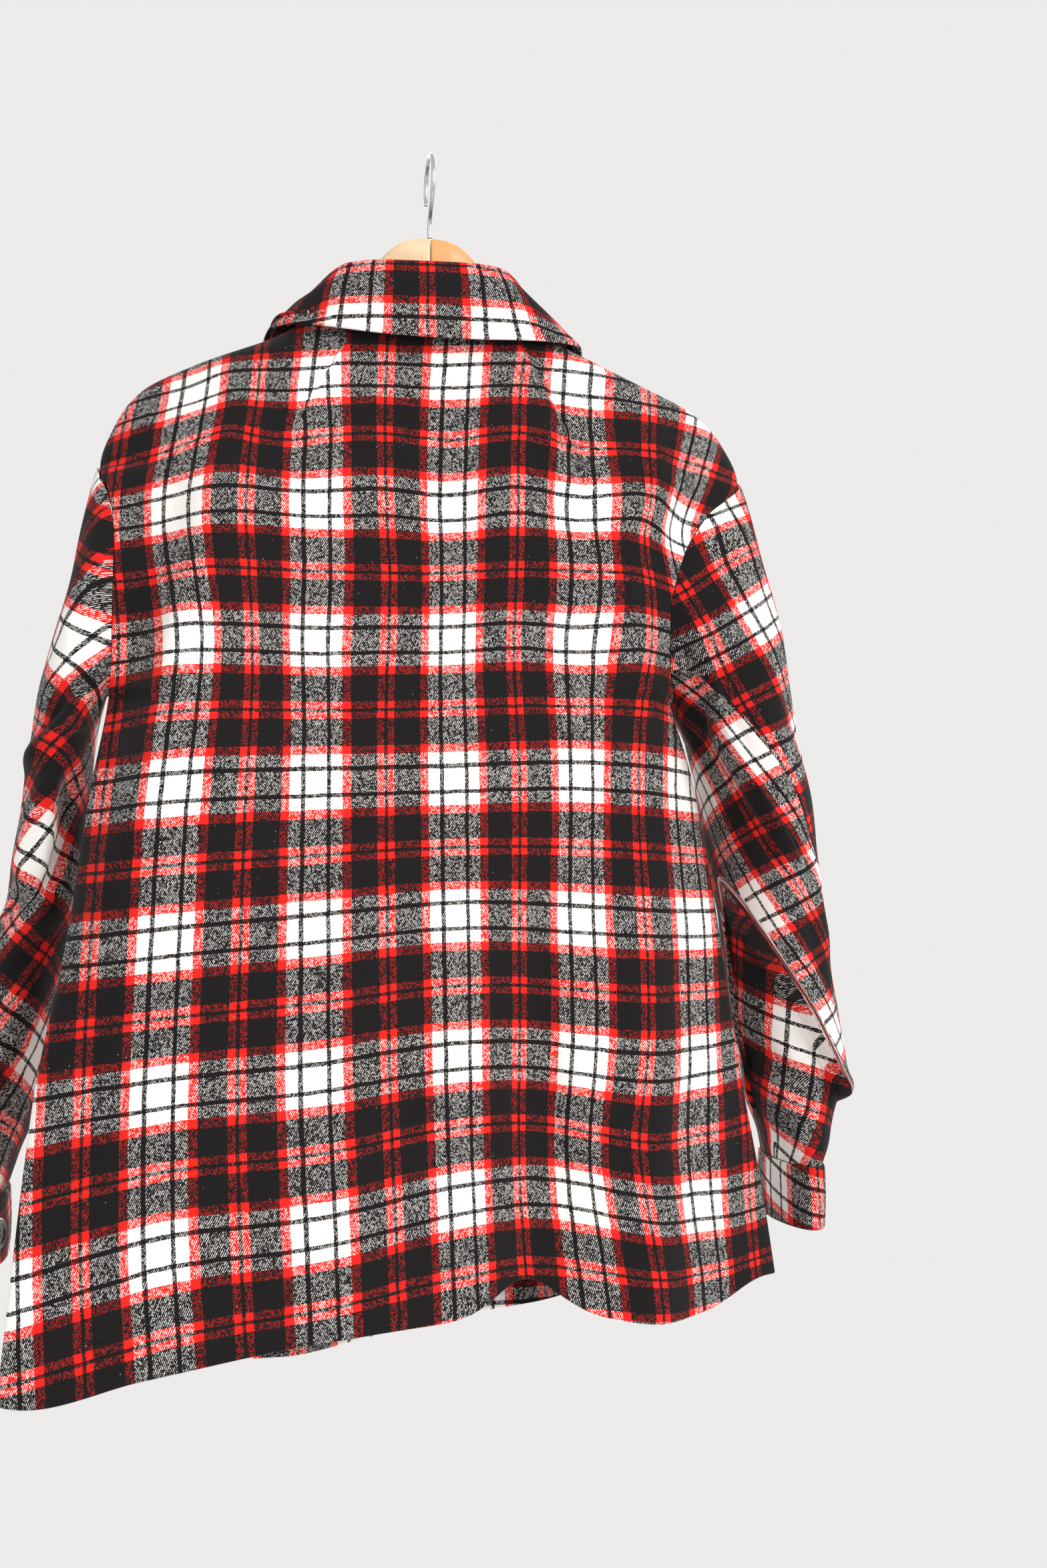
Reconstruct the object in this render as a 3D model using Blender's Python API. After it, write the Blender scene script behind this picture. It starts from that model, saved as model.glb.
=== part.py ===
# Plaid wool jacket on a contoured wooden hanger, hung by the hanger's hook.
# Metres, +Z up. The jacket's back faces -Y and its wearer's right is +X. The origin is the
# hook's inner top, where it bears on a rail.
import bpy
import numpy as np
from math import pi

# Driving sizes
CLOTH = 0.0022          # wall of one layer of the wool
TOUCH = 0.0003          # gap between a piece and what it rests on
SEAM = 0.0010           # gap between two pieces that are sewn together
CENTRE_BACK = -0.0065   # the jacket has slid this far to the left of the hook
HOLE_TOP = -0.240       # height of the shoulder point, where the armhole starts
HOLE_BASE = -0.415      # height of the underarm
HOLE_HALF = 0.042       # half of the armhole's width, front to back
NECK_Z = -0.118         # height of the neck point, where shoulder meets collar
NECK_HALF = 0.072       # half of the neck's width
NECK_DROP = 0.088       # how far the front neckline drops
STAND = 0.020           # how far each front laps past the centre line
CUFF_TOP = -0.768
CUFF_BASE = -0.816
WIRE = 0.0019           # radius of the hook's wire
HOOK_INNER = 0.019      # inner radius of the hook

# The body, from the shoulders down: height, where its left and right edges are, how far
# back the seams there stand, and how far the back and the fronts stand off from the seams
BODY = np.array([
    # z      left    right   y_left  y_right back   front
    [-0.118, -0.0785, 0.0655, 0.012, 0.012, 0.030, 0.030],
    [-0.142, -0.118, 0.118, 0.014, 0.014, 0.034, 0.036],
    [-0.163, -0.172, 0.168, 0.017, 0.017, 0.038, 0.041],
    [-0.184, -0.213, 0.213, 0.020, 0.020, 0.042, 0.046],
    [-0.205, -0.230, 0.234, 0.021, 0.021, 0.047, 0.050],
    [-0.240, -0.242, 0.249, 0.018, 0.022, 0.052, 0.054],
    [-0.270, -0.233, 0.217, 0.008, 0.026, 0.054, 0.056],
    [-0.305, -0.229, 0.196, -0.002, 0.030, 0.055, 0.058],
    [-0.345, -0.229, 0.187, -0.012, 0.033, 0.054, 0.060],
    [-0.385, -0.229, 0.189, -0.030, 0.035, 0.051, 0.060],
    [-0.415, -0.231, 0.197, -0.048, 0.035, 0.048, 0.060],
    [-0.480, -0.241, 0.213, -0.075, 0.035, 0.048, 0.060],
    [-0.580, -0.254, 0.229, -0.095, 0.030, 0.046, 0.060],
    [-0.680, -0.272, 0.239, -0.115, 0.025, 0.040, 0.060],
    [-0.780, -0.281, 0.251, -0.153, 0.016, 0.024, 0.060],
    [-0.856, -0.288, 0.270, -0.166, 0.012, 0.018, 0.056]])

# The step down the left of the back: where its crest is, and how far it stands out
STEP = np.array([
    # z      crest   depth
    [-0.190, -0.165, 0.000],
    [-0.250, -0.162, 0.014],
    [-0.300, -0.165, 0.022],
    [-0.370, -0.180, 0.030],
    [-0.480, -0.202, 0.026],
    [-0.527, -0.216, 0.020],
    [-0.597, -0.232, 0.010],
    [-0.680, -0.245, 0.000]])

# Soft folds of the fronts, two a side, and of the back's lower right: where, how wide, how deep
BACK_FOLDS = ((0.064, 0.034, -0.014, -0.50), (0.155, 0.040, 0.012, -0.52),
              (0.168, 0.026, 0.006, -0.24), (-0.060, 0.050, 0.004, -0.45))
FRONT_FOLDS = ((-0.190, 0.030, 0.010, -0.32), (-0.095, 0.034, -0.009, -0.40),
               (0.085, 0.030, -0.008, -0.42), (0.165, 0.032, 0.012, -0.34))

# The sleeves below the armhole: centre, half widths across and front to back
SLEEVE_RIGHT = np.array([
    # z      x      y      across depth
    [-0.250, 0.233, 0.024, 0.027, 0.040],
    [-0.290, 0.237, 0.028, 0.032, 0.052],
    [-0.340, 0.243, 0.034, 0.040, 0.062],
    [-0.422, 0.255, 0.042, 0.043, 0.070],
    [-0.480, 0.269, 0.046, 0.041, 0.070],
    [-0.538, 0.277, 0.048, 0.040, 0.069],
    [-0.600, 0.286, 0.048, 0.038, 0.067],
    [-0.655, 0.293, 0.046, 0.040, 0.065],
    [-0.712, 0.302, 0.046, 0.038, 0.062],
    [-0.747, 0.302, 0.050, 0.024, 0.060],
    [-0.767, 0.3005, 0.052, 0.0165, 0.057]])
SLEEVE_LEFT = np.array([
    [-0.250, -0.240, 0.010, 0.009, 0.040],
    [-0.290, -0.243, 0.006, 0.012, 0.052],
    [-0.340, -0.246, -0.004, 0.015, 0.054],
    [-0.390, -0.254, -0.020, 0.019, 0.044],
    [-0.438, -0.262, -0.014, 0.023, 0.054],
    [-0.500, -0.2692, 0.004, 0.0238, 0.068],
    [-0.563, -0.2755, 0.014, 0.0275, 0.072],
    [-0.600, -0.2880, 0.022, 0.0310, 0.070],
    [-0.655, -0.301, 0.022, 0.032, 0.067],
    [-0.705, -0.310, 0.022, 0.031, 0.064],
    [-0.745, -0.316, 0.022, 0.023, 0.060],
    [-0.767, -0.317, 0.022, 0.0165, 0.057]])

# The collar, from the centre of the back round to the front: neck seam, fold and outer edge
COLLAR = np.array([
    # neck x, y, z           fold x, y, z            edge x, y, z
    [0.0000, -0.0180, -0.1255, 0.000, -0.030, -0.0920, 0.000, -0.037, -0.1480],
    [0.0280, -0.0171, -0.1244, 0.030, -0.029, -0.0920, 0.034, -0.036, -0.1470],
    [0.0520, -0.0112, -0.1216, 0.056, -0.023, -0.0930, 0.072, -0.031, -0.1435],
    [0.0665, -0.0012, -0.1168, 0.076, -0.008, -0.1045, 0.104, -0.016, -0.1385],
    [0.0700, 0.0120, -0.1138, 0.083, 0.010, -0.1095, 0.120, 0.010, -0.1345],
    [0.0692, 0.0360, -0.1232, 0.082, 0.037, -0.1140, 0.126, 0.040, -0.1450],
    [0.0620, 0.0530, -0.1525, 0.073, 0.058, -0.1360, 0.125, 0.064, -0.1660],
    [0.0525, 0.0605, -0.1675, 0.062, 0.068, -0.1520, 0.115, 0.080, -0.1940],
    [0.0375, 0.0680, -0.1825, 0.046, 0.079, -0.1660, 0.096, 0.089, -0.2240],
    [0.0120, 0.0725, -0.1960, 0.016, 0.087, -0.1790, 0.062, 0.092, -0.2500]])

# The hanger's arms, from the middle to the tip: top, underside, centre and half thickness
ARM = np.array([
    # x      top     base    y      thick
    [0.0004, -0.0615, -0.106, 0.000, 0.0070],
    [0.0120, -0.0628, -0.108, 0.000, 0.0072],
    [0.0230, -0.0665, -0.113, 0.001, 0.0075],
    [0.0360, -0.0775, -0.120, 0.003, 0.0078],
    [0.0480, -0.0960, -0.130, 0.008, 0.0080],
    [0.0620, -0.1215, -0.140, 0.010, 0.0085],
    [0.0780, -0.1310, -0.150, 0.012, 0.0090],
    [0.1180, -0.1452, -0.171, 0.013, 0.0120],
    [0.1600, -0.1629, -0.191, 0.018, 0.0148],
    [0.1900, -0.1778, -0.205, 0.021, 0.0150],
    [0.2040, -0.1910, -0.204, 0.022, 0.0100]])

FRONT_BUTTONS = (-0.232, -0.345, -0.458, -0.571, -0.684)
BUTTON_RADIUS = 0.011
BUTTON_THICK = 0.0034

WOOL, LIGHT_WOOD, DARK_WOOD = (0.72, 0.12, 0.11), (0.80, 0.62, 0.40), (0.76, 0.50, 0.27)
STEEL, BLACK = (0.62, 0.62, 0.63), (0.02, 0.02, 0.022)


def between(table, heights, column, key=0):
    """A column of a table at any height, with no overshoot: cubic, slopes by harmonic mean."""
    order = np.argsort(table[:, key])
    x, y = table[order, key], table[order, column]
    h, d = np.diff(x), np.diff(y) / np.diff(x)
    slope = np.zeros(len(x))
    inner = np.where(d[1:] * d[:-1] > 0, 2 * d[1:] * d[:-1] / (d[1:] + d[:-1] + 1e-12), 0)
    slope[1:-1], slope[0], slope[-1] = inner, d[0], d[-1]
    v = np.clip(heights, x[0], x[-1])
    i = np.clip(np.searchsorted(x, v) - 1, 0, len(h) - 1)
    t = (v - x[i]) / h[i]
    return (y[i] * (2 * t**3 - 3 * t**2 + 1) + h[i] * slope[i] * (t**3 - 2 * t**2 + t)
            + y[i + 1] * (3 * t**2 - 2 * t**3) + h[i] * slope[i + 1] * (t**3 - t**2))


def ramp(x, low, high):
    t = np.clip((x - low) / (high - low), 0, 1)
    return t * t * (3 - 2 * t)


def hole(z):
    """Half of the armhole's width at a height: an ellipse from shoulder point to underarm."""
    middle, half = (HOLE_TOP + HOLE_BASE) / 2, (HOLE_TOP - HOLE_BASE) / 2
    return HOLE_HALF * np.sqrt(np.clip(1 - ((z - middle) / half) ** 2, 0, 1))


def seam_y(x, z):
    """The plane that back and front meet in, which runs from the left seam to the right one."""
    left, right = between(BODY, z, 1), between(BODY, z, 2)
    share = np.clip((x - left) / (right - left), 0, 1)
    return between(BODY, z, 3) * (1 - share) + between(BODY, z, 4) * share


def roundness(x, z):
    """1 in the middle of the body and 0 at its side edges, where the cloth turns round."""
    left, right = between(BODY, z, 1), between(BODY, z, 2)
    s = np.where(x < CENTRE_BACK, (CENTRE_BACK - x) / (CENTRE_BACK - left),
                 (x - CENTRE_BACK) / (right - CENTRE_BACK))
    power = 0.5 + 0.5 * ramp((hole(z) / HOLE_HALF) ** 2, 0, 1)
    return np.clip(1 - np.clip(s, 0, 1) ** 3, 0, 1) ** power


def folds(x, z, rows):
    """Soft ridges and troughs that run down the cloth, each starting at its own height."""
    out = 0 * x
    for where, wide, deep, start in rows:
        out = out + deep * np.exp(-((x - where) / wide) ** 2) * ramp(-z, -start, -start + 0.20)
    return out


def back_y(x, z):
    gap, stand = hole(z), between(BODY, z, 5)
    round_it = roundness(x, z)
    crest, depth = between(STEP, z, 1), between(STEP, z, 2)
    away = x - crest
    ridge = np.where(away < 0, 1 - ramp(-away, 0, 0.036), np.exp(-(away / 0.085) ** 2))
    out = gap + (stand - gap) * round_it
    more = (depth * ridge + folds(x, z, BACK_FOLDS)) * np.clip(round_it * 2.2, 0, 1)
    return seam_y(x, z) - out - more


def front_y(x, z):
    gap, stand = hole(z), between(BODY, z, 6)
    round_it = roundness(x, z)
    more = folds(x, z, FRONT_FOLDS) * np.clip(round_it * 2, 0, 1)
    return seam_y(x, z) + gap + (stand - gap) * round_it + more


def back_drop(x, z):
    """How far a row of the back's cloth hangs from level, which also shapes the hem."""
    low = ramp(-z, 0.45, 0.78)
    return (0.045 * x - 0.022 * ramp(x, 0.05, 0.19) * low
            + 0.021 * np.exp(-((x - 0.064) / 0.032) ** 2) * ramp(-z, 0.62, 0.86)
            + 0.020 * ramp(x, 0.205, 0.270) * ramp(-z, 0.70, 0.86)
            + (0.008 * np.exp(-((x + 0.08) / 0.12) ** 2) - 0.011 * ramp(-x, 0.20, 0.285))
            * ramp(-z, 0.70, 0.86))


def spread(curve, count):
    """The same curve with its points evenly spaced along it."""
    length = np.r_[0, np.cumsum(np.linalg.norm(np.diff(curve, axis=0), axis=1))]
    even = np.linspace(0, length[-1], count)
    return np.stack([np.interp(even, length, curve[:, k]) for k in range(3)], 1)


# Back and fronts have their rows at the same heights, so that they meet along the seams
HEIGHTS = np.r_[NECK_Z, -0.130, -0.145, -0.163, -0.184, -0.2045, -0.225, HOLE_TOP, -0.2445, -0.256,
                np.linspace(-0.277, -0.378, 4), -0.399, -0.4105, HOLE_BASE,
                np.linspace(-0.450, -0.856, 13)]


def back_grid(across=32):
    rows = []
    for z in HEIGHTS:
        left, right = between(BODY, z, 1), between(BODY, z, 2)
        halves = []
        for a, b in ((left, CENTRE_BACK), (CENTRE_BACK, right)):
            t = np.linspace(0, 1, 200)
            t = np.sin(t * pi / 2) if b == right else 1 - np.cos(t * pi / 2)
            x = a + (b - a) * t
            zs = np.full_like(x, z)
            side = np.abs((x - CENTRE_BACK) / np.where(x < CENTRE_BACK, CENTRE_BACK - left,
                                                       right - CENTRE_BACK))
            drop = back_drop(x, z) * ramp(-z, -NECK_Z, 0.30) * (1 - 0.5 * side**8)
            dip = -0.0075 * (1 - side**2) * ramp(z, -0.142, NECK_Z)
            halves.append(spread(np.stack([x, back_y(x, z) - SEAM / 2, zs + drop + dip], 1),
                                 across // 2 + 1))
        rows.append(np.r_[halves[0], halves[1][1:]])
    return np.array(rows)


def front_drop(x):
    """How far the fronts' hem hangs below the side seams: more on the drawn-out left side."""
    return np.clip(0.012 - 0.08 * x, 0.002, 0.020)


def neckline(z, side):
    """How far past the centre line a front starts, at a height."""
    share = np.clip((NECK_Z - z) / NECK_DROP, 0, 1)
    return -STAND + (NECK_HALF + STAND) * np.sqrt(1 - share**2)


def front_grid(side, across=13):
    rows = []
    for z in HEIGHTS:
        edge = between(BODY, z, 2 if side > 0 else 1)
        start = CENTRE_BACK + side * neckline(z, side)
        if abs(edge - CENTRE_BACK) < abs(start - CENTRE_BACK) + 0.006:
            start = edge - side * 0.006
        t = np.sin(np.linspace(0, 1, 200) * pi / 2)
        x = start + (edge - start) * t
        y = front_y(x, z) + SEAM / 2
        lap = ramp(-side * (x - CENTRE_BACK), -0.055, -0.025)
        y = y + lap * (0.0032 if side > 0 else 0)
        share = np.abs((x - CENTRE_BACK) / (edge - CENTRE_BACK))
        low = ramp(-z, 0.60, 0.856)
        drop = -front_drop(x) * (1 - np.clip(share, 0, 1) ** 2) * low
        end = back_drop(edge, z) * 0.5 * ramp(-z, -NECK_Z, 0.30)
        rows.append(spread(np.stack([x, y, np.full_like(x, z) + drop + end * share**2], 1),
                           across))
    return np.array(rows)


def armhole(side, angles):
    """The loop that a sleeve is sewn to: angle 0 is the shoulder point, 90 degrees the back."""
    middle, half = (HOLE_TOP + HOLE_BASE) / 2, (HOLE_TOP - HOLE_BASE) / 2
    z = middle + half * np.cos(angles)
    x = between(BODY, z, 2 if side > 0 else 1)
    y = between(BODY, z, 4 if side > 0 else 3) - hole(z) * np.sign(np.sin(angles))
    drop = back_drop(x, z) * 0.5 * ramp(-z, -NECK_Z, 0.30)
    return np.stack([x, y, z + drop], 1)


def sleeve_grid(side, around=24, down=15):
    table = SLEEVE_RIGHT if side > 0 else SLEEVE_LEFT
    angles = np.linspace(0, 2 * pi, around, endpoint=False)
    first = armhole(side, angles)
    first[:, 0] += side * ((0.0016 if side > 0 else 0.0009) + 0.0028 * np.cos(angles) ** 2)
    rows = [first]
    middle, half = (HOLE_TOP + HOLE_BASE) / 2, (HOLE_TOP - HOLE_BASE) / 2
    for share in np.linspace(0, 1, down)[1:]:
        # a ring lies flat below the underarm and tips up towards the shoulder above it
        tilt = 1 - ramp(share, 0, 0.32)
        z = middle + (CUFF_TOP - middle) * share + tilt * half * np.cos(angles)
        x, y = between(table, z, 1), between(table, z, 2)
        across, deep = between(table, z, 3), between(table, z, 4)
        ring = np.stack([x + side * across * np.cos(angles), y - deep * np.sin(angles), z], 1)
        keep = 1 - ramp(share, 0, 0.16)
        rows.append(ring * (1 - keep) + first * keep)
    grid = np.array(rows)
    for step in range(3):
        grid[1:-1] = grid[1:-1] / 2 + (grid[:-2] + grid[2:]) / 4
    return grid


def cuff_grid(side, around=22, down=3):
    table = SLEEVE_RIGHT if side > 0 else SLEEVE_LEFT
    angles = np.linspace(0, 2 * pi, around, endpoint=False)
    rows = []
    for share in np.linspace(0, 1, down):
        z = CUFF_TOP - TOUCH + (CUFF_BASE - CUFF_TOP) * share
        x, y = between(table, -0.767, 1), between(table, -0.767, 2)
        across, deep = between(table, -0.767, 3) + 0.0016, between(table, -0.767, 4) + 0.0016
        rows.append(np.stack([x + side * across * np.cos(angles), y - deep * np.sin(angles),
                              np.full(around, z)], 1))
    return np.array(rows)


def collar_grid(half=13):
    share = np.linspace(0, 1, half)
    place = np.linspace(0, 1, len(COLLAR))
    table = np.c_[place, COLLAR]
    right = np.stack([between(table, share, k) for k in range(1, 10)], 1)
    left = right[::-1].copy()
    left[:, [0, 3, 6]] *= -1
    both = np.r_[left[:-1], right]
    both[:, [0, 3, 6]] += CENTRE_BACK
    neck, fold, edge = both[:, 0:3], both[:, 3:6], both[:, 6:9]
    fold[:, 2] += 0.030 * fold[:, 0]
    edge[:, 2] -= 0.010 * edge[:, 0]
    edge[:, 0] += 0.0075 * ramp(np.abs(edge[:, 0]), 0.03, 0.11)
    out = (edge - neck) * np.array([1, 1, 0])
    out /= np.linalg.norm(out, axis=1)[:, None]
    up = np.array([0, 0, 1.0])
    section = [neck + 0.0022 * up, neck * 0.45 + fold * 0.55 - 0.002 * out,
               fold - 0.0040 * out - 0.0040 * up, fold, fold + 0.0040 * out - 0.0042 * up,
               fold * 0.55 + edge * 0.45 + 0.0030 * out, edge]
    return np.array(section)


def wall(outer, thick, closed, flip, square=()):
    """The inner side of a wall: each point moved in along the surface's own normal.
    Where a square edge meets its neighbour in a seam, it moves in the seam's own plane."""
    if closed:
        along = np.roll(outer, -1, axis=1) - np.roll(outer, 1, axis=1)
    else:
        along = np.gradient(outer, axis=1)
    down = np.gradient(outer, axis=0)
    normal = np.cross(down, along) * (-1 if flip else 1)
    normal /= np.linalg.norm(normal, axis=2)[:, :, None] + 1e-12
    for column in square:
        normal[:, column, 1] *= np.clip(hole(HEIGHTS) / 0.02, 0, 1)
    normal /= np.linalg.norm(normal, axis=2)[:, :, None] + 1e-12
    return outer - normal * thick


def solid(name, outer, thick, colour, closed=False, flip=False, square=()):
    """A closed solid from a grid of outer points: both sides and the edges between them."""
    inner = wall(outer, thick, closed, flip, square)
    rows, cols = outer.shape[:2]
    points = np.r_[outer.reshape(-1, 3), inner.reshape(-1, 3)]
    far = rows * cols
    faces = []
    last = cols if closed else cols - 1
    for r in range(rows - 1):
        for c in range(last):
            d = (c + 1) % cols
            a, b, e, f = r * cols + c, r * cols + d, (r + 1) * cols + d, (r + 1) * cols + c
            faces += [(a, f, e, b), (a + far, b + far, e + far, f + far)]
    for c in range(last):
        d, base = (c + 1) % cols, (rows - 1) * cols
        faces += [(c, d, d + far, c + far), (base + d, base + c, base + c + far, base + d + far)]
    if not closed:
        for r in range(rows - 1):
            a, b = r * cols, (r + 1) * cols
            faces += [(b, a, a + far, b + far),
                      (a + cols - 1, b + cols - 1, b + cols - 1 + far, a + cols - 1 + far)]
    if flip:
        faces = [f[::-1] for f in faces]
    return add(name, points, faces, colour)


def add(name, points, faces, colour, rough=0.8):
    mesh = bpy.data.meshes.new(name)
    mesh.from_pydata([tuple(p) for p in points], [], faces)
    mesh.validate()
    mesh.update()
    thing = bpy.data.objects.new(name, mesh)
    bpy.context.collection.objects.link(thing)
    material = bpy.data.materials.get(name) or bpy.data.materials.new(name)
    material.use_nodes = True
    shader = material.node_tree.nodes["Principled BSDF"]
    shader.inputs["Base Color"].default_value = (*colour, 1)
    shader.inputs["Roughness"].default_value = rough
    mesh.materials.append(material)
    return thing


def lofted(name, rings, colour, rough=0.5):
    """A closed solid through rings of points, with a flat cap at each end."""
    count = len(rings[0])
    points = np.concatenate(rings)
    faces = []
    for r in range(len(rings) - 1):
        for c in range(count):
            d = (c + 1) % count
            faces.append((r * count + c, r * count + d, (r + 1) * count + d, (r + 1) * count + c))
    faces.append(tuple(range(count))[::-1])
    faces.append(tuple(range((len(rings) - 1) * count, len(rings) * count)))
    return add(name, points, faces, colour, rough)


def hanger_arm(side, name, colour):
    rings = []
    for x, top, base, y, thick in ARM:
        angles = np.linspace(0, 2 * pi, 12, endpoint=False)
        c, s = np.cos(angles), np.sin(angles)
        # a section with straight sides and rounded corners
        across = thick * np.sign(c) * np.abs(c) ** 0.6
        upright = (top - base) / 2 * np.sign(s) * np.abs(s) ** 0.6
        ring = np.stack([np.full(12, side * x), y + across, (top + base) / 2 + upright], 1)
        rings.append(ring if side > 0 else ring[::-1])
    return lofted(name, rings, colour)


def hook():
    """Wire of round section along a path: up from the hanger, out to the back, over and down."""
    middle, radius = -HOOK_INNER, HOOK_INNER + WIRE
    path = [(0, -0.0612), (0, -0.054), (-0.002, -0.0475), (-0.0085, -0.0405)]
    for turn in np.radians(np.arange(222, -31, -18)):
        path.append((radius * np.cos(turn), middle + radius * np.sin(turn)))
    path = np.array(path)
    ahead = np.gradient(path, axis=0)
    ahead /= np.linalg.norm(ahead, axis=1)[:, None]
    rings = []
    for (y, z), (dy, dz) in zip(path, ahead):
        a = np.linspace(0, 2 * pi, 10, endpoint=False)
        rings.append(np.stack([WIRE * np.cos(a), y - dz * WIRE * np.sin(a),
                               z + dy * WIRE * np.sin(a)], 1)[::-1])
    return lofted("hook", rings, STEEL, 0.3)


def button(name, place, facing):
    """A flat disc with a raised rim, lying on the cloth."""
    facing = np.array(facing, float) / np.linalg.norm(facing)
    side = np.cross(facing, (0, 0, 1.0))
    side /= np.linalg.norm(side)
    up = np.cross(side, facing)
    rings = []
    for radius, lift in ((0.75, 0.0), (1.0, 0.30), (1.0, 0.72), (0.86, 1.0), (0.62, 0.70)):
        a = np.linspace(0, 2 * pi, 14, endpoint=False)
        rings.append(place + facing * (TOUCH + lift * BUTTON_THICK)
                     + BUTTON_RADIUS * radius * (np.cos(a)[:, None] * side + np.sin(a)[:, None] * up))
    return lofted(name, [r[::-1] for r in rings], BLACK, 0.25)


def cuff_button(side, name, angle):
    ring = cuff_grid(side)[1]
    table = SLEEVE_RIGHT if side > 0 else SLEEVE_LEFT
    x, y = between(table, -0.767, 1), between(table, -0.767, 2)
    across, deep = between(table, -0.767, 3) + 0.0016, between(table, -0.767, 4) + 0.0016
    facing = np.array([side * np.cos(angle) / across, -np.sin(angle) / deep, 0])
    facing /= np.linalg.norm(facing)
    place = np.array([x + side * across * np.cos(angle), y - deep * np.sin(angle), ring[0, 2]])
    return button(name, place, facing)


for thing in list(bpy.data.objects):
    bpy.data.objects.remove(thing)

solid("back", back_grid(), CLOTH, WOOL, square=(0, -1))
solid("left_front", front_grid(-1), CLOTH, WOOL, square=(-1,))
solid("right_front", front_grid(1), CLOTH, WOOL, flip=True, square=(-1,))
solid("left_sleeve", sleeve_grid(-1), CLOTH, WOOL, closed=True)
solid("right_sleeve", sleeve_grid(1), CLOTH, WOOL, closed=True, flip=True)
solid("left_cuff", cuff_grid(-1), CLOTH * 1.5, WOOL, closed=True)
solid("right_cuff", cuff_grid(1), CLOTH * 1.5, WOOL, closed=True, flip=True)
solid("collar", collar_grid(), 0.0024, WOOL)
hanger_arm(-1, "left_arm", LIGHT_WOOD)
hanger_arm(1, "right_arm", DARK_WOOD)
hook()
for number, height in enumerate(FRONT_BUTTONS, 1):
    # a button lies on the highest points of the cloth under its rim
    turn = np.linspace(0, 2 * pi, 16, endpoint=False)
    x = np.r_[CENTRE_BACK, CENTRE_BACK + BUTTON_RADIUS * np.cos(turn)]
    z = np.r_[height, height + BUTTON_RADIUS * np.sin(turn)]
    y = front_y(x, z + 0.012 * ramp(-z, 0.60, 0.856)) + SEAM / 2 + 0.0032
    slope_x, slope_z = (y[1] - y[9]) / (2 * BUTTON_RADIUS), (y[5] - y[13]) / (2 * BUTTON_RADIUS)
    flat = y - slope_x * (x - CENTRE_BACK) - slope_z * (z - height)
    button(f"front_button_{number}", np.array([CENTRE_BACK, flat.max() + 0.0002, height]),
           (-slope_x, 1, -slope_z))
cuff_button(1, "right_cuff_button", pi * 1.97)
cuff_button(-1, "left_cuff_button", pi * 0.74)
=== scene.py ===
# Plaid wool jacket hung on a contoured wooden hanger. Metres, +Z up, the back of the jacket
# faces -Y and the wearer's right is +X. The origin is the hook's inner top.
import bpy
import numpy as np
from math import pi, radians, sin, cos
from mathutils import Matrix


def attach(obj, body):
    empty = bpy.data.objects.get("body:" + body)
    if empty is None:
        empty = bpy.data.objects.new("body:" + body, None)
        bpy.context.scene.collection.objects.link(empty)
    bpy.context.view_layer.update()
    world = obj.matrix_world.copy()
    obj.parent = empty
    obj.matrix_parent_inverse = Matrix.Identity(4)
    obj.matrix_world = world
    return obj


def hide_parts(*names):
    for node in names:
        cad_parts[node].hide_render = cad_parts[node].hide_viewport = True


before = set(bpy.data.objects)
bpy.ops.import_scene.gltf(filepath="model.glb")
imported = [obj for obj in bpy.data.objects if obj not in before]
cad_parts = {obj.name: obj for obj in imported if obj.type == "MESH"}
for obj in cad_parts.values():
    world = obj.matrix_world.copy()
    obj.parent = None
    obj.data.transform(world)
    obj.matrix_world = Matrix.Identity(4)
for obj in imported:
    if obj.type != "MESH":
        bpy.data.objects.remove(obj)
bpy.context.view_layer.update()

print("frame loaded:", len(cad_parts), "nodes")

# camera, floor and light

view = {"place": (-0.178, -1.290, -0.544), "turn": 11.0, "tilt": 3.0, "lens": 40.0}
studio = {"floorHeight": -1.75, "floorHalf": 1.4, "sky": (1.0, 0.992, 0.984), "skyPower": 0.84,
          "keyPlace": (1.7, -2.3, 0.5), "keySize": 2.0, "keyPower": 76.0,
          "fillPlace": (-2.2, -1.6, 0.3), "fillSize": 2.4, "fillPower": 10.0,
          "backPlace": (0.6, 2.6, 0.6), "backSize": 2.6, "backPower": 60.0,
          "lamp": (1.0, 0.985, 0.965), "aim": (0.0, 0.0, -0.45)}

camera = bpy.data.objects.new("camera", bpy.data.cameras.new("camera"))
camera.location = view["place"]
camera.rotation_euler = (radians(90 + view["tilt"]), 0, radians(-view["turn"]))
camera.data.lens = view["lens"]
camera.data.sensor_width = 36.0
camera.data.clip_start = 0.05
bpy.context.scene.collection.objects.link(camera)
bpy.context.scene.camera = camera


def softLight(name, place, size, power):
    # a square soft box that looks at the middle of the jacket
    light = bpy.data.objects.new(name, bpy.data.lights.new(name, "AREA"))
    light.data.size, light.data.energy = size, power
    light.data.color = studio["lamp"]
    light.location = place
    away = np.array(place) - np.array(studio["aim"])
    light.rotation_euler = (np.arctan2(np.hypot(away[0], away[1]), away[2]), 0,
                            np.arctan2(away[0], -away[1]))
    bpy.context.scene.collection.objects.link(light)


softLight("keyLight", studio["keyPlace"], studio["keySize"], studio["keyPower"])
softLight("fillLight", studio["fillPlace"], studio["fillSize"], studio["fillPower"])
softLight("backLight", studio["backPlace"], studio["backSize"], studio["backPower"])

world = bpy.data.worlds.new("paleRoom")
world.use_nodes = True
world.node_tree.nodes["Background"].inputs["Color"].default_value = (*studio["sky"], 1)
world.node_tree.nodes["Background"].inputs["Strength"].default_value = studio["skyPower"]
bpy.context.scene.world = world
bpy.context.scene.view_settings.view_transform = "Standard"


# shapes from whole arrays

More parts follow.
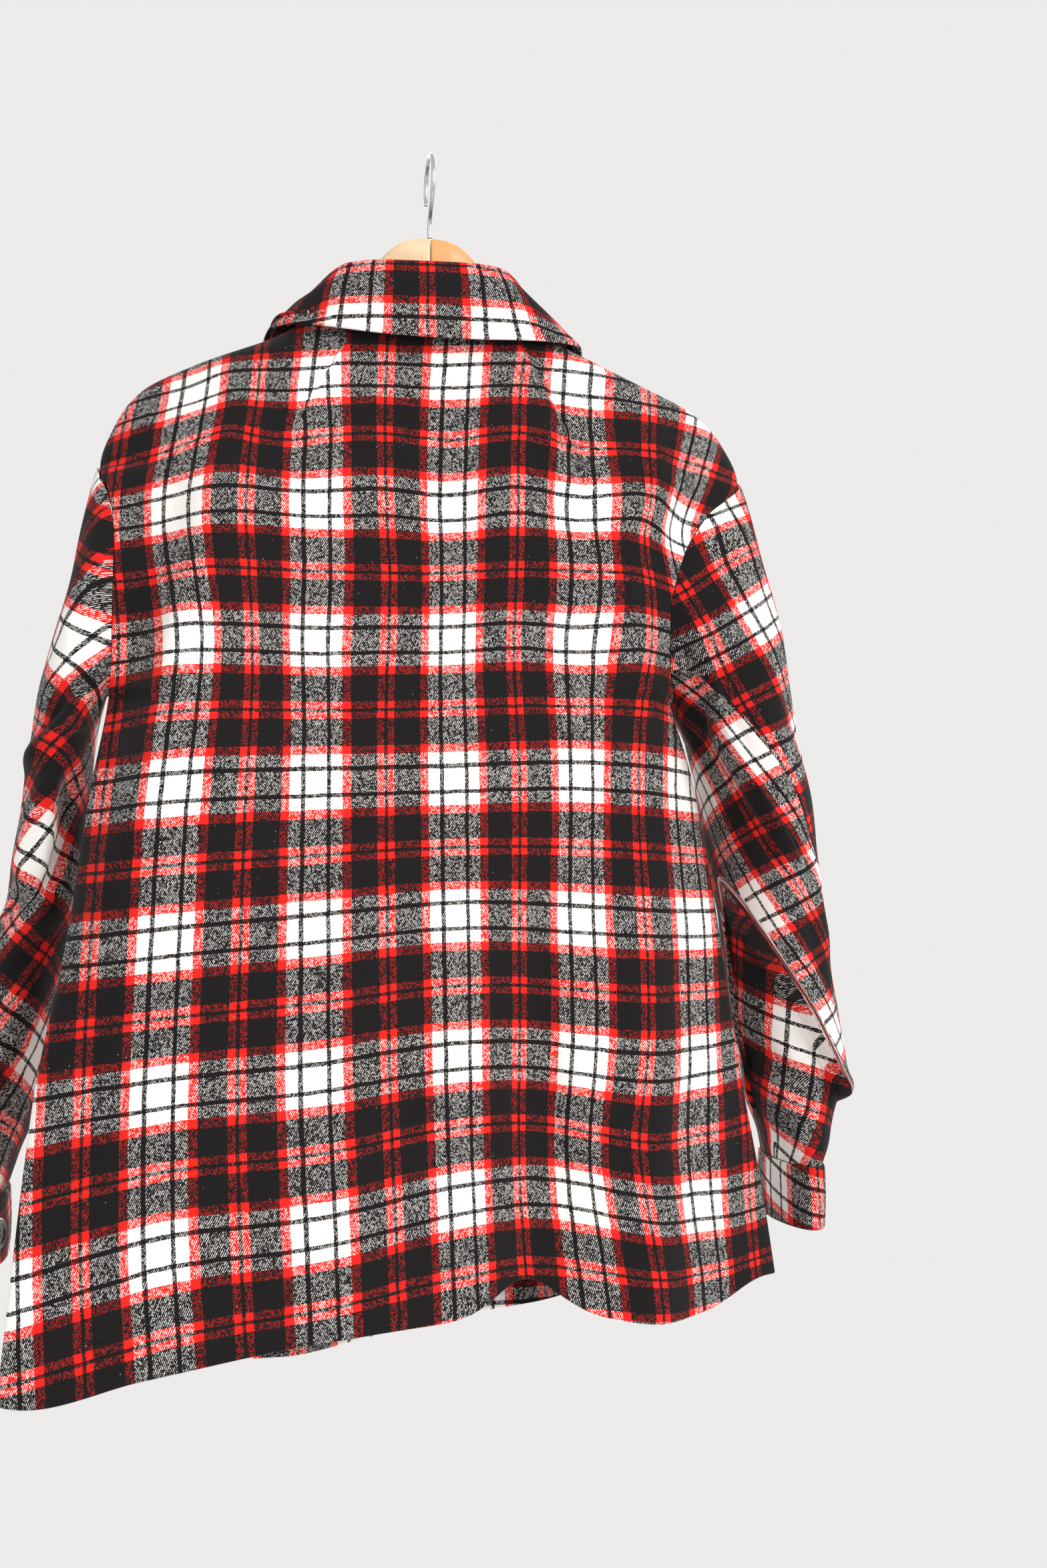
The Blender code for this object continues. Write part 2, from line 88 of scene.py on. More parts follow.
def between(table, at, column, key=0):
    # a column of a table at any height: cubic pieces whose slopes are the harmonic mean of
    # their neighbours', so the curve never overshoots
    order = np.argsort(table[:, key])
    x, y = table[order, key], table[order, column]
    h, d = np.diff(x), np.diff(y) / np.diff(x)
    slope = np.zeros(len(x))
    slope[1:-1] = np.where(d[1:] * d[:-1] > 0,
                           2 * d[1:] * d[:-1] / (d[1:] + d[:-1] + 1e-12), 0)
    slope[0], slope[-1] = d[0], d[-1]
    v = np.clip(at, x[0], x[-1])
    i = np.clip(np.searchsorted(x, v) - 1, 0, len(h) - 1)
    t = (v - x[i]) / h[i]
    return (y[i] * (2 * t**3 - 3 * t**2 + 1) + h[i] * slope[i] * (t**3 - 2 * t**2 + t)
            + y[i + 1] * (3 * t**2 - 2 * t**3) + h[i] * slope[i + 1] * (t**3 - t**2))


def ramp(x, low, high):
    # 0 below low, 1 above high, with a smooth S between
    t = np.clip((x - low) / (high - low), 0, 1)
    return t * t * (3 - 2 * t)


def creases(x, z, marks):
    # sum of soft ridges (height > 0) and troughs. Each runs from one point to another with a
    # bow, its profile is exp(-(across/width)^2) with one side sharper, and it dies out at
    # both ends
    out = np.zeros(np.broadcast(x, z).shape)
    for x0, z0, x1, z1, bow, width, sharp, height in marks:
        dx, dz = x1 - x0, z1 - z0
        length = np.hypot(dx, dz)
        along = ((x - x0) * dx + (z - z0) * dz) / length**2
        across = ((x - x0) * dz - (z - z0) * dx) / length - bow * 4 * along * (1 - along)
        wide = np.where(across > 0, width, width * sharp)
        ends = ramp(along, -0.12, 0.25) * (1 - ramp(along, 0.70, 1.12))
        out += height * ends * np.exp(-(across / wide) ** 2)
    return out


def ripple(x, z, size, seed):
    # the small unevenness of hung cloth: six slow waves in different directions
    out = 0 * x
    for k in range(6):
        turn, wave = 2.4 * k + seed, 0.055 + 0.023 * ((k * 3 + seed) % 5)
        out = out + np.sin((x * np.cos(turn) + z * np.sin(turn)) * 2 * pi / wave + seed * k)
    return out * size / 6


def pathLength(points, axis):
    # distance walked along the rows or the columns of a grid of points
    step = np.linalg.norm(np.diff(points, axis=axis), axis=2)
    start = np.zeros_like(np.take(step, [0], axis=axis))
    return np.concatenate([start, np.cumsum(step, axis=axis)], axis=axis)


def fineEnds(count, length):
    # shares from 0 to 1 with extra lines close to the ends, where an edge is rounded
    close = np.array([0.0, 0.00025, 0.0007, 0.0014]) / length
    first = 0.0026 / length
    return np.r_[close, np.linspace(first, 1 - first, count), 1 - close[::-1]]


def surfaceNormal(grid, closed, flip):
    # cross product of the steps down and along the grid, one long
    along = (np.roll(grid, -1, axis=1) - np.roll(grid, 1, axis=1)) if closed \
        else np.gradient(grid, axis=1)
    normal = np.cross(np.gradient(grid, axis=0), along) * (-1 if flip else 1)
    return normal / (np.linalg.norm(normal, axis=2)[:, :, None] + 1e-12)


def finished(name, mesh, material):
    # smooth faces, one material, and an object at the origin
    mesh.polygons.foreach_set("use_smooth", np.ones(len(mesh.polygons), bool))
    mesh.materials.append(material)
    thing = bpy.data.objects.new(name, mesh)
    bpy.context.scene.collection.objects.link(thing)
    return thing


def meshObject(name, points, quads, corners, material):
    # vertices, quads and their UV corners straight from arrays
    mesh = bpy.data.meshes.new(name)
    mesh.vertices.add(len(points))
    mesh.vertices.foreach_set("co", points.astype(np.float32).ravel())
    mesh.loops.add(quads.size)
    mesh.loops.foreach_set("vertex_index", quads.astype(np.int32).ravel())
    mesh.polygons.add(len(quads))
    mesh.polygons.foreach_set("loop_start", np.arange(0, quads.size, 4, dtype=np.int32))
    mesh.update(calc_edges=True)
    mesh.uv_layers.new(name="cloth").data.foreach_set("uv", corners.astype(np.float32).ravel())
    return finished(name, mesh, material)


def clothShell(name, outer, uv, thick, material, closed=False, flip=False, rounded=0.0013):
    # a closed thin shell: the outer face, and an inner face one wall further in along the
    # normal. Near an open edge both draw together like half a circle.
    # uv has one column more than outer where the grid closes on itself.
    normal = surfaceNormal(outer, closed, flip)
    rows, cols = outer.shape[:2]
    down = pathLength(outer, 0)
    edge = np.minimum(down, down[-1:] - down)
    if not closed:
        across = pathLength(outer, 1)
        edge = np.minimum(edge, np.minimum(across, across[:, -1:] - across))
    rim = np.sqrt(1 - (1 - np.clip(edge / rounded, 0.02, 1)) ** 2)[:, :, None]
    thick = np.broadcast_to(thick, (rows, cols))[:, :, None]
    middle = outer - normal * thick / 2
    points = np.r_[(middle + normal * thick / 2 * rim).reshape(-1, 3),
                   (middle - normal * thick / 2 * rim).reshape(-1, 3)]
    far, span = rows * cols, cols if closed else cols - 1
    r, c = np.meshgrid(np.arange(rows - 1), np.arange(span), indexing="ij")
    r, c = r.ravel(), c.ravel()
    d = (c + 1) % cols
    a, b, e, f = r * cols + c, r * cols + d, (r + 1) * cols + d, (r + 1) * cols + c
    flat = uv.reshape(-1, 2)
    wide = uv.shape[1]
    ua, ub, ue, uf = (flat[k] for k in (r * wide + c, r * wide + c + 1,
                                       (r + 1) * wide + c + 1, (r + 1) * wide + c))
    quads = [np.stack([a, f, e, b], 1), np.stack([a, b, e, f], 1) + far]
    corners = [np.stack([ua, uf, ue, ub], 1), np.stack([ua, ub, ue, uf], 1)]
    c = np.arange(span)
    d, base = (c + 1) % cols, (rows - 1) * cols
    quads += [np.stack([c, d, d + far, c + far], 1),
              np.stack([base + d, base + c, base + c + far, base + d + far], 1)]
    top, low = uv[0], uv[-1]
    corners += [np.stack([top[c], top[c + 1], top[c + 1], top[c]], 1),
                np.stack([low[c + 1], low[c], low[c], low[c + 1]], 1)]
    if not closed:
        a, b = np.arange(rows - 1) * cols, np.arange(1, rows) * cols
        quads += [np.stack([b, a, a + far, b + far], 1),
                  np.stack([a, b, b + far, a + far], 1) + cols - 1]
        one, two = uv[:, 0], uv[:, -1]
        corners += [np.stack([one[1:], one[:-1], one[:-1], one[1:]], 1),
                    np.stack([two[:-1], two[1:], two[1:], two[:-1]], 1)]
    quads, corners = np.concatenate(quads), np.concatenate(corners)
    if flip:
        quads, corners = quads[:, ::-1], corners[:, ::-1]
    return meshObject(name, points, quads, corners, material)


def roundedBody(name, bodies, material):
    # closed solids in one mesh: each is an array of rings of points, with a face at each end
    points, faces = [], []
    for rings in bodies:
        rows, count = rings.shape[:2]
        r, c = np.meshgrid(np.arange(rows - 1), np.arange(count), indexing="ij")
        r, c = r.ravel(), c.ravel()
        d = (c + 1) % count
        quads = np.stack([r * count + c, r * count + d, (r + 1) * count + d, (r + 1) * count + c], 1)
        end = len(points) + np.arange(count)
        faces += (quads + len(points)).tolist()
        faces += [end[::-1].tolist(), (end + (rows - 1) * count).tolist()]
        points += rings.reshape(-1, 3).tolist()
    mesh = bpy.data.meshes.new(name)
    mesh.from_pydata(points, [], faces)
    mesh.update()
    return finished(name, mesh, material)


def standIn(piece, node):
    # every piece stands for one node and rides on the only body
    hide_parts(node)
    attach(piece, "root")


# materials

def maths(tree, operation, one, two=None, clamp=False):
    # one Math node; each operand is a socket or a number
    made = tree.nodes.new("ShaderNodeMath")
    made.operation, made.use_clamp = operation, clamp
    for slot, value in enumerate((one, two)):
        if isinstance(value, (int, float)):
            made.inputs[slot].default_value = value
        elif value is not None:
            tree.links.new(value, made.inputs[slot])
    return made.outputs[0]


def swing(tree, value, size):
    # a noise from 0 to 1 made to swing about zero: (value - 1/2) * size
    return maths(tree, "MULTIPLY", maths(tree, "SUBTRACT", value, 0.5), size)


def mixColour(tree, share, one, two, blend="MIX"):
    # two colours, each a socket or three numbers, mixed by a share
    made = tree.nodes.new("ShaderNodeMix")
    made.data_type, made.blend_type = "RGBA", blend
    for socket, value in ((made.inputs[0], share), (made.inputs[6], one), (made.inputs[7], two)):
        if isinstance(value, (int, float)):
            socket.default_value = value
        elif isinstance(value, tuple):
            socket.default_value = (*value, 1)
        else:
            tree.links.new(value, socket)
    return made.outputs[2]


def brightness(tree, colour):
    made = tree.nodes.new("ShaderNodeRGBToBW")
    tree.links.new(colour, made.inputs[0])
    return made.outputs[0]


def noise(tree, vector, scale, detail=2.0, rough=0.5):
    made = tree.nodes.new("ShaderNodeTexNoise")
    made.inputs["Scale"].default_value = scale
    made.inputs["Detail"].default_value = detail
    made.inputs["Roughness"].default_value = rough
    tree.links.new(vector, made.inputs["Vector"])
    return made.outputs["Fac"]


def cells(tree, vector, scale):
    made = tree.nodes.new("ShaderNodeTexVoronoi")
    made.inputs["Scale"].default_value = scale
    tree.links.new(vector, made.inputs["Vector"])
    return made.outputs


def relief(tree, shader, height, strength, depth):
    # fine bumps on the surface from a height socket
    bump = tree.nodes.new("ShaderNodeBump")
    bump.inputs["Strength"].default_value, bump.inputs["Distance"].default_value = strength, depth
    tree.links.new(height, bump.inputs["Height"])
    tree.links.new(bump.outputs[0], shader.inputs["Normal"])


def newMaterial(name, rough, coat=0.0, specular=0.5, metallic=0.0):
    material = bpy.data.materials.new(name)
    material.use_nodes = True
    shader = material.node_tree.nodes["Principled BSDF"]
    shader.inputs["Roughness"].default_value = rough
    shader.inputs["Coat Weight"].default_value = coat
    shader.inputs["Specular IOR Level"].default_value = specular
    shader.inputs["Metallic"].default_value = metallic
    return material, material.node_tree, shader


# The check: widths of its stripes in one repeat, the same both ways, with the first white
# group's middle at zero, how much more of the cloth the darker yarn covers, and the painted
# shade laid where black crosses another colour
check = {"repeat": 0.1000,
         "stripes": (("white", 8.5), ("black", 3.0), ("white", 16.5), ("black", 3.0), ("white", 8.5),
                     ("red", 6.5), ("black", 20.0), ("red", 5.0), ("black", 2.5), ("red", 5.0),
                     ("black", 20.0), ("red", 6.5)),
         "whiteGroup": 5, "white": (0.86, 0.835, 0.80), "black": (0.0080, 0.0070, 0.0076),
         "red": (0.71, 0.016, 0.011), "blackBelow": 0.05, "cover": 0.80, "contrast": 8.0,
         # painted shade where black crosses another colour: its share and its dim colour
         "crossShadeShare": 0.30, "crossShadeColour": (0.012, 0.010, 0.011)}

# The weave: slanting strokes of the twill, one per so many metres across and down, broken up
# by fuzz and by thick and thin places in the yarn. Scales are per metre.
weave = {"strokeAcross": 0.00142, "strokeDown": 0.00245, "strokeEdge": 1.5, "strokeWaver": 1.6,
         "strokeFuzz": 2.6, "strokeSlub": 3.0, "waverScale": 55.0, "fuzzScale": 1500.0,
         "slubScale": 980.0, "fibreScale": 3600.0, "drift": 0.0016, "blur": 0.0011,
         "bump": 0.35, "bumpDepth": 0.0004, "bumpStroke": 0.5, "bumpFuzz": 0.9}

# What lies on the weave: pale fibre ends, slow wear, and sparse lint in patches
nap = {"cover": 0.035, "colour": (0.24, 0.21, 0.21), "wearScale": 14.0, "wear": (0.90, 0.895, 0.89),
       "lintScale": 260.0, "lintSize": 0.085, "patchScale": 90.0, "patchAbove": 0.68,
       "lintCover": 0.55, "lint": (0.62, 0.60, 0.58),
       "sheen": 0.07, "sheenRough": 0.45, "sheenTint": (1.0, 0.97, 0.95)}


def stripeColours(tree, place):
    # one colour ramp with a hard stop for every stripe; place runs along the repeat, and 64
    # repeats more keep it above zero
    total = sum(width for colour, width in check["stripes"])
    white = sum(width for colour, width in check["stripes"][:check["whiteGroup"]])
    shifted = maths(tree, "ADD", maths(tree, "DIVIDE", place, check["repeat"]), white / 2 / total + 64)
    made = tree.nodes.new("ShaderNodeValToRGB")
    made.color_ramp.interpolation = "CONSTANT"
    stops, at = made.color_ramp.elements, 0.0
    for number, (colour, width) in enumerate(check["stripes"]):
        stop = stops[number] if number < 2 else stops.new(at / total)
        stop.position = at / total
        stop.color = (*check[colour], 1)
        at += width
    tree.links.new(maths(tree, "FRACT", shifted), made.inputs[0])
    return made.outputs[0]


def twillStroke(tree, place, across, down, waver, fuzz, darker):
    # the share of warp that shows: slanting strokes, wider where the warp is the darker yarn,
    # with thick and thin places in the yarns
    slant = maths(tree, "ADD", maths(tree, "DIVIDE", across, weave["strokeAcross"]),
                  maths(tree, "DIVIDE", down, weave["strokeDown"]))
    slant = maths(tree, "ADD", slant, maths(tree, "MULTIPLY", waver, weave["strokeWaver"]))
    wave = maths(tree, "SINE", maths(tree, "MULTIPLY", slant, 2 * pi))
    slub = brightness(tree, cells(tree, place, weave["slubScale"])["Color"])
    for more in (swing(tree, fuzz, weave["strokeFuzz"]),
                 maths(tree, "MULTIPLY", darker, check["cover"]),
                 swing(tree, slub, weave["strokeSlub"])):
        wave = maths(tree, "ADD", wave, more)
    return maths(tree, "ADD", maths(tree, "MULTIPLY", wave, weave["strokeEdge"]), 0.5, clamp=True)


def withNap(tree, place, cloth, fibre):
    # pale fibre ends, a slow change of depth over the cloth, and sparse flecks of lint
    cloth = mixColour(tree, maths(tree, "MULTIPLY", fibre, nap["cover"]), cloth, nap["colour"])
    worn = noise(tree, place, nap["wearScale"], 3.0)
    cloth = mixColour(tree, 1.0, cloth, mixColour(tree, worn, nap["wear"], (1.0, 1.0, 1.0)), "MULTIPLY")
    near = maths(tree, "LESS_THAN", cells(tree, place, nap["lintScale"])["Distance"], nap["lintSize"])
    patch = maths(tree, "GREATER_THAN", noise(tree, place, nap["patchScale"], 0.0), nap["patchAbove"])
    fleck = maths(tree, "MULTIPLY", maths(tree, "MULTIPLY", near, patch), nap["lintCover"])
    return mixColour(tree, fleck, cloth, nap["lint"])


def woolCheck():
    # weave: warp and weft stripes show through each other in slanting strokes of a 2/2 twill,
    # and a raised nap of short fibres softens it all
    material, tree, shader = newMaterial("woolCheck", 0.93, specular=0.06)
    uv, apart = tree.nodes.new("ShaderNodeUVMap"), tree.nodes.new("ShaderNodeSeparateXYZ")
    uv.uv_map = "cloth"
    place = uv.outputs[0]
    tree.links.new(place, apart.inputs[0])
    across, down = apart.outputs[0], apart.outputs[1]
    waver = noise(tree, place, weave["waverScale"])
    fuzz = noise(tree, place, weave["fuzzScale"], rough=0.6)
    fibre = noise(tree, place, weave["fibreScale"], rough=0.6)
    # yarns wander by a fraction of a millimetre, and fibres blur a stripe's edge
    offset = maths(tree, "ADD", swing(tree, waver, weave["drift"]), swing(tree, fuzz, weave["blur"]))
    warp = stripeColours(tree, maths(tree, "ADD", across, offset))
    weft = stripeColours(tree, maths(tree, "ADD", down, offset))
    # from -1 to 1: which of the two yarns is the darker one
    lights = [brightness(tree, warp), brightness(tree, weft)]
    darker = maths(tree, "MULTIPLY", maths(tree, "SUBTRACT", lights[1], lights[0]), check["contrast"])
    darker = maths(tree, "MAXIMUM", maths(tree, "MINIMUM", darker, 1.0), -1.0)
    stroke = twillStroke(tree, place, across, down, waver, fuzz, darker)
    cloth = mixColour(tree, stroke, weft, warp)
    # painted shade: where black crosses another colour the cloth is mixed towards a dim colour,
    # standing in for the shade where the yarns lie deeper
    blacks = [maths(tree, "LESS_THAN", light, check["blackBelow"]) for light in lights]
    shadedCrossing = maths(tree, "ABSOLUTE", maths(tree, "SUBTRACT", *blacks))
    cloth = mixColour(tree, maths(tree, "MULTIPLY", shadedCrossing, check["crossShadeShare"]), cloth, check["crossShadeColour"])
    tree.links.new(withNap(tree, place, cloth, fibre), shader.inputs["Base Color"])
    shader.inputs["Sheen Weight"].default_value = nap["sheen"]
    shader.inputs["Sheen Roughness"].default_value = nap["sheenRough"]
    shader.inputs["Sheen Tint"].default_value = (*nap["sheenTint"], 1)
    height = maths(tree, "ADD", maths(tree, "MULTIPLY", stroke, weave["bumpStroke"]),
                   maths(tree, "MULTIPLY", fuzz, weave["bumpFuzz"]))
    relief(tree, shader, height, weave["bump"], weave["bumpDepth"])
    return material


def objectPlace(tree):
    return tree.nodes.new("ShaderNodeTexCoord").outputs["Object"]


wood = {"stretch": (7.0, 60.0, 60.0), "lean": 12.0, "waveScale": 1.6, "poreScale": 14.0,
        "deepBelow": 0.30, "paleAbove": 0.72, "poreAbove": 0.63, "poreCover": 0.16, "poreDark": 0.55}


def woodGrain(name, pale, deep, shift):
    # straight grain along the arm with slow waves, fine pores, and a satin lacquer
    material, tree, shader = newMaterial(name, 0.42, coat=0.25)
    squash = tree.nodes.new("ShaderNodeMapping")
    squash.inputs["Location"].default_value = (shift, shift * 2, 0)
    squash.inputs["Scale"].default_value = wood["stretch"]
    squash.inputs["Rotation"].default_value = (0, radians(wood["lean"]), 0)
    tree.links.new(objectPlace(tree), squash.inputs["Vector"])
    waves = noise(tree, squash.outputs[0], wood["waveScale"], 4.0, 0.6)
    pores = noise(tree, squash.outputs[0], wood["poreScale"], 2.0, 0.7)
    tone = tree.nodes.new("ShaderNodeValToRGB")
    stops = tone.color_ramp.elements
    stops[0].position, stops[0].color = wood["deepBelow"], (*deep, 1)
    stops[1].position, stops[1].color = wood["paleAbove"], (*pale, 1)
    tree.links.new(waves, tone.inputs[0])
    openPores = maths(tree, "GREATER_THAN", pores, wood["poreAbove"])
    colour = mixColour(tree, maths(tree, "MULTIPLY", openPores, wood["poreCover"]), tone.outputs[0],
                       tuple(wood["poreDark"] * k for k in deep))
    tree.links.new(colour, shader.inputs["Base Color"])
    relief(tree, shader, pores, 0.15, 0.0003)
    return material


def clouded(name, scale, detail, dark, pale, bumps=0.0, **surface):
    # wire, resin and thread: two close tones in clouds so many per metre, with fine bumps
    material, tree, shader = newMaterial(name, **surface)
    cloud = noise(tree, objectPlace(tree), scale, detail)
    tree.links.new(mixColour(tree, cloud, dark, pale), shader.inputs["Base Color"])
    if bumps:
        relief(tree, shader, cloud, bumps, 0.0002)
    return material


wool = woolCheck()
lightWood = woodGrain("lightWood", (0.80, 0.60, 0.38), (0.66, 0.44, 0.24), 0.3)
darkWood = woodGrain("darkWood", (0.80, 0.39, 0.15), (0.68, 0.29, 0.095), 1.7)
steelWire = clouded("hookWire", 900.0, 3.0, (0.42, 0.42, 0.43), (0.66, 0.66, 0.67), bumps=0.12,
                    rough=0.26, metallic=1.0)
blackResin = clouded("buttonGloss", 140.0, 3.0, (0.006, 0.006, 0.007), (0.030, 0.025, 0.023),
                     rough=0.24, coat=0.3)
thread = clouded("blackThread", 2600.0, 2.0, (0.006, 0.006, 0.007), (0.05, 0.048, 0.05), bumps=0.4,
                 rough=0.75, specular=0.3)
print("materials made")

# body of the jacket

cloth = {"wall": 0.0022, "hemWall": 0.0042, "hemDeep": 0.030, "seam": 0.0003}
centreBack = -0.0065
holeTop, holeBase, holeHalf = -0.240, -0.415, 0.042
holeMiddle, holeHigh = (holeTop + holeBase) / 2, (holeTop - holeBase) / 2
neckHeight, neckHalf, neckDrop, hemHeight = -0.118, 0.072, 0.088, -0.856
front = {"lap": 0.020, "lapLift": 0.0032, "hemWall": 0.0034, "checkAcross": 0.052,
         "checkDown": 0.023, "checkStretch": 1.01}

# from the shoulders down: the side edges, where front to back the seams there stand, and how
# far the back and the fronts stand off from the seams
bodyShape = np.array([
    # z      left    right   yLeft   yRight back   front
    [-0.118, -0.0785, 0.0655, 0.012, 0.012, 0.030, 0.030],
    [-0.142, -0.118, 0.118, 0.014, 0.014, 0.034, 0.036],
    [-0.163, -0.172, 0.168, 0.017, 0.017, 0.038, 0.041],
    [-0.184, -0.213, 0.213, 0.020, 0.020, 0.042, 0.046],
    [-0.205, -0.230, 0.234, 0.021, 0.021, 0.047, 0.050],
    [-0.240, -0.242, 0.249, 0.018, 0.022, 0.052, 0.054],
    [-0.270, -0.233, 0.217, 0.008, 0.026, 0.054, 0.056],
    [-0.305, -0.229, 0.196, -0.002, 0.030, 0.055, 0.058],
    [-0.345, -0.229, 0.187, -0.012, 0.033, 0.054, 0.060],
    [-0.385, -0.229, 0.189, -0.030, 0.035, 0.051, 0.060],
    [-0.415, -0.231, 0.197, -0.048, 0.035, 0.048, 0.060],
    [-0.480, -0.241, 0.216, -0.075, 0.035, 0.048, 0.060],
    [-0.580, -0.254, 0.233, -0.095, 0.030, 0.046, 0.060],
    [-0.680, -0.272, 0.2475, -0.115, 0.025, 0.040, 0.060],
    [-0.780, -0.281, 0.263, -0.153, 0.016, 0.024, 0.060],
    [-0.856, -0.288, 0.273, -0.166, 0.012, 0.018, 0.056]])

# the step down the left of the back: its crest, and how far it stands out
stepShape = np.array([
    [-0.190, -0.165, 0.000], [-0.250, -0.162, 0.014], [-0.300, -0.165, 0.022],
    [-0.370, -0.180, 0.030], [-0.480, -0.202, 0.026], [-0.527, -0.216, 0.020],
    [-0.597, -0.232, 0.010], [-0.680, -0.245, 0.000]])
stepWidth = {"left": 0.036, "right": 0.085}

# long soft folds: where, how wide, how deep, and the height that each starts from
backFolds = ((0.064, 0.034, -0.014, -0.50), (0.155, 0.040, 0.012, -0.52),
             (0.168, 0.026, 0.006, -0.24), (-0.060, 0.050, 0.004, -0.45))
frontFolds = ((-0.190, 0.030, 0.010, -0.32), (-0.095, 0.034, -0.009, -0.40),
              (0.085, 0.030, -0.008, -0.42), (0.165, 0.032, 0.012, -0.34))

# small creases, ridges above zero: x0, z0, x1, z1, bow, width, sharper side, height
backCreases = (
    (0.094, -0.200, 0.121, -0.264, 0.002, 0.0055, 0.35, -0.0042),
    (0.084, -0.205, 0.110, -0.272, 0.002, 0.009, 0.4, 0.0028),
    (0.176, -0.200, 0.184, -0.340, 0.006, 0.012, 0.6, 0.0030),
    (0.196, -0.225, 0.190, -0.320, -0.004, 0.010, 0.7, -0.0040),
    (0.150, -0.300, 0.182, -0.420, 0.008, 0.013, 0.6, 0.0022),
    (0.118, -0.150, 0.188, -0.215, 0.006, 0.012, 0.8, 0.0020),
    (0.086, -0.560, 0.092, -0.850, 0.004, 0.013, 0.5, -0.0026),
    (0.040, -0.610, 0.046, -0.850, -0.003, 0.014, 0.7, 0.0020),
    (0.120, -0.640, 0.128, -0.850, 0.003, 0.016, 0.7, 0.0022),
    (0.196, -0.500, 0.208, -0.850, 0.006, 0.016, 0.6, -0.0030),
    (0.222, -0.620, 0.236, -0.850, 0.004, 0.013, 0.6, 0.0032),
    (-0.200, -0.240, -0.196, -0.420, -0.006, 0.011, 0.7, 0.0020),
    (-0.212, -0.300, -0.222, -0.500, 0.006, 0.010, 0.6, -0.0026),
    (-0.150, -0.185, -0.176, -0.260, 0.006, 0.013, 0.8, -0.0022),
    (-0.140, -0.520, -0.150, -0.700, 0.006, 0.022, 0.8, -0.0022),
    (-0.226, -0.560, -0.240, -0.760, 0.004, 0.016, 0.7, -0.0030),
    (-0.205, -0.640, -0.215, -0.850, 0.003, 0.018, 0.7, 0.0026),
    (-0.130, -0.700, -0.118, -0.850, -0.004, 0.018, 0.8, 0.0020),
    (-0.030, -0.660, -0.022, -0.850, 0.003, 0.020, 0.8, -0.0018),
    (-0.110, -0.225, -0.060, -0.330, 0.004, 0.020, 0.9, -0.0014),
    (0.100, -0.235, 0.060, -0.330, 0.004, 0.020, 0.9, -0.0012),
    (0.020, -0.380, 0.030, -0.560, 0.006, 0.026, 0.9, 0.0014))
frontCreases = (
    (-0.200, -0.230, -0.170, -0.420, 0.008, 0.014, 0.6, -0.0045),
    (-0.150, -0.240, -0.185, -0.380, -0.006, 0.012, 0.7, 0.0035),
    (-0.140, -0.420, -0.150, -0.780, 0.008, 0.016, 0.6, 0.0045),
    (-0.060, -0.300, -0.075, -0.620, -0.006, 0.018, 0.7, 0.0035),
    (-0.215, -0.480, -0.240, -0.850, 0.006, 0.018, 0.6, -0.0050),
    (0.190, -0.240, 0.160, -0.400, -0.008, 0.013, 0.6, -0.0045),
    (0.130, -0.230, 0.150, -0.430, 0.006, 0.013, 0.7, 0.0035),
    (0.120, -0.460, 0.130, -0.840, -0.006, 0.017, 0.6, 0.0040),
    (0.045, -0.330, 0.055, -0.700, 0.004, 0.020, 0.7, 0.0030),
    (0.200, -0.480, 0.215, -0.850, 0.006, 0.016, 0.6, -0.0045))


def hole(z):
    # half width of the armhole: an ellipse from the shoulder point to the underarm
    return holeHalf * np.sqrt(np.clip(1 - ((z - holeMiddle) / holeHigh) ** 2, 0, 1))


def sideEdges(z):
    return between(bodyShape, z, 1), between(bodyShape, z, 2)


def sideEdge(side, z):
    return between(bodyShape, z, 2 if side > 0 else 1)


def belowNeck(z):
    # 0 at the neck, 1 from just under the shoulders down
    return ramp(-z, -neckHeight, 0.30)


def seamY(x, z):
    # the seams' plane, from the left side's to the right side's
    left, right = sideEdges(z)
    share = np.clip((x - left) / (right - left), 0, 1)
    return between(bodyShape, z, 3) * (1 - share) + between(bodyShape, z, 4) * share


def roundness(x, z):
    # 1 in the middle of the body, 0 at its side edges: (1 - s^3)^power
    left, right = sideEdges(z)
    s = np.where(x < centreBack, (centreBack - x) / (centreBack - left),
                 (x - centreBack) / (right - centreBack))
    power = 0.5 + 0.5 * ramp((hole(z) / holeHalf) ** 2, 0, 1)
    return np.clip(1 - np.clip(s, 0, 1) ** 3, 0, 1) ** power


def longFolds(x, z, rows):
    # soft ridges that run down, exp(-(across/width)^2), each growing from where it starts
    out = 0 * x
    for where, wide, deep, start in rows:
        out = out + deep * np.exp(-((x - where) / wide) ** 2) * ramp(-z, -start, -start + 0.20)
    return out


def backY(x, z):
    # seam plane, less the armhole's half width, less how far the back stands off, which
    # fades as (1 - s^3) at the sides, plus the step, the folds and the creases
    gap, stand = hole(z), between(bodyShape, z, 5)
    roundIt = roundness(x, z)
    crest, depth = between(stepShape, z, 1), between(stepShape, z, 2)
    away = x - crest
    ridge = np.where(away < 0, 1 - ramp(-away, 0, stepWidth["left"]),
                     np.exp(-(away / stepWidth["right"]) ** 2))
    more = depth * ridge + longFolds(x, z, backFolds) + creases(x, z, backCreases)
    more = more + ripple(x, z, 0.0009, 1)
    return seamY(x, z) - gap - (stand - gap) * roundIt - more * np.clip(roundIt * 2.2, 0, 1)


def frontY(x, z):
    # the same on the other side of the seams, but smooth along the buttons
    gap, stand = hole(z), between(bodyShape, z, 6)
    roundIt = roundness(x, z)
    small = creases(x, z, frontCreases) + ripple(x, z, 0.0009, 2)
    more = longFolds(x, z, frontFolds) + small * ramp(np.abs(x - centreBack), 0.020, 0.045)
    return seamY(x, z) + gap + (stand - gap) * roundIt + more * np.clip(roundIt * 2, 0, 1)


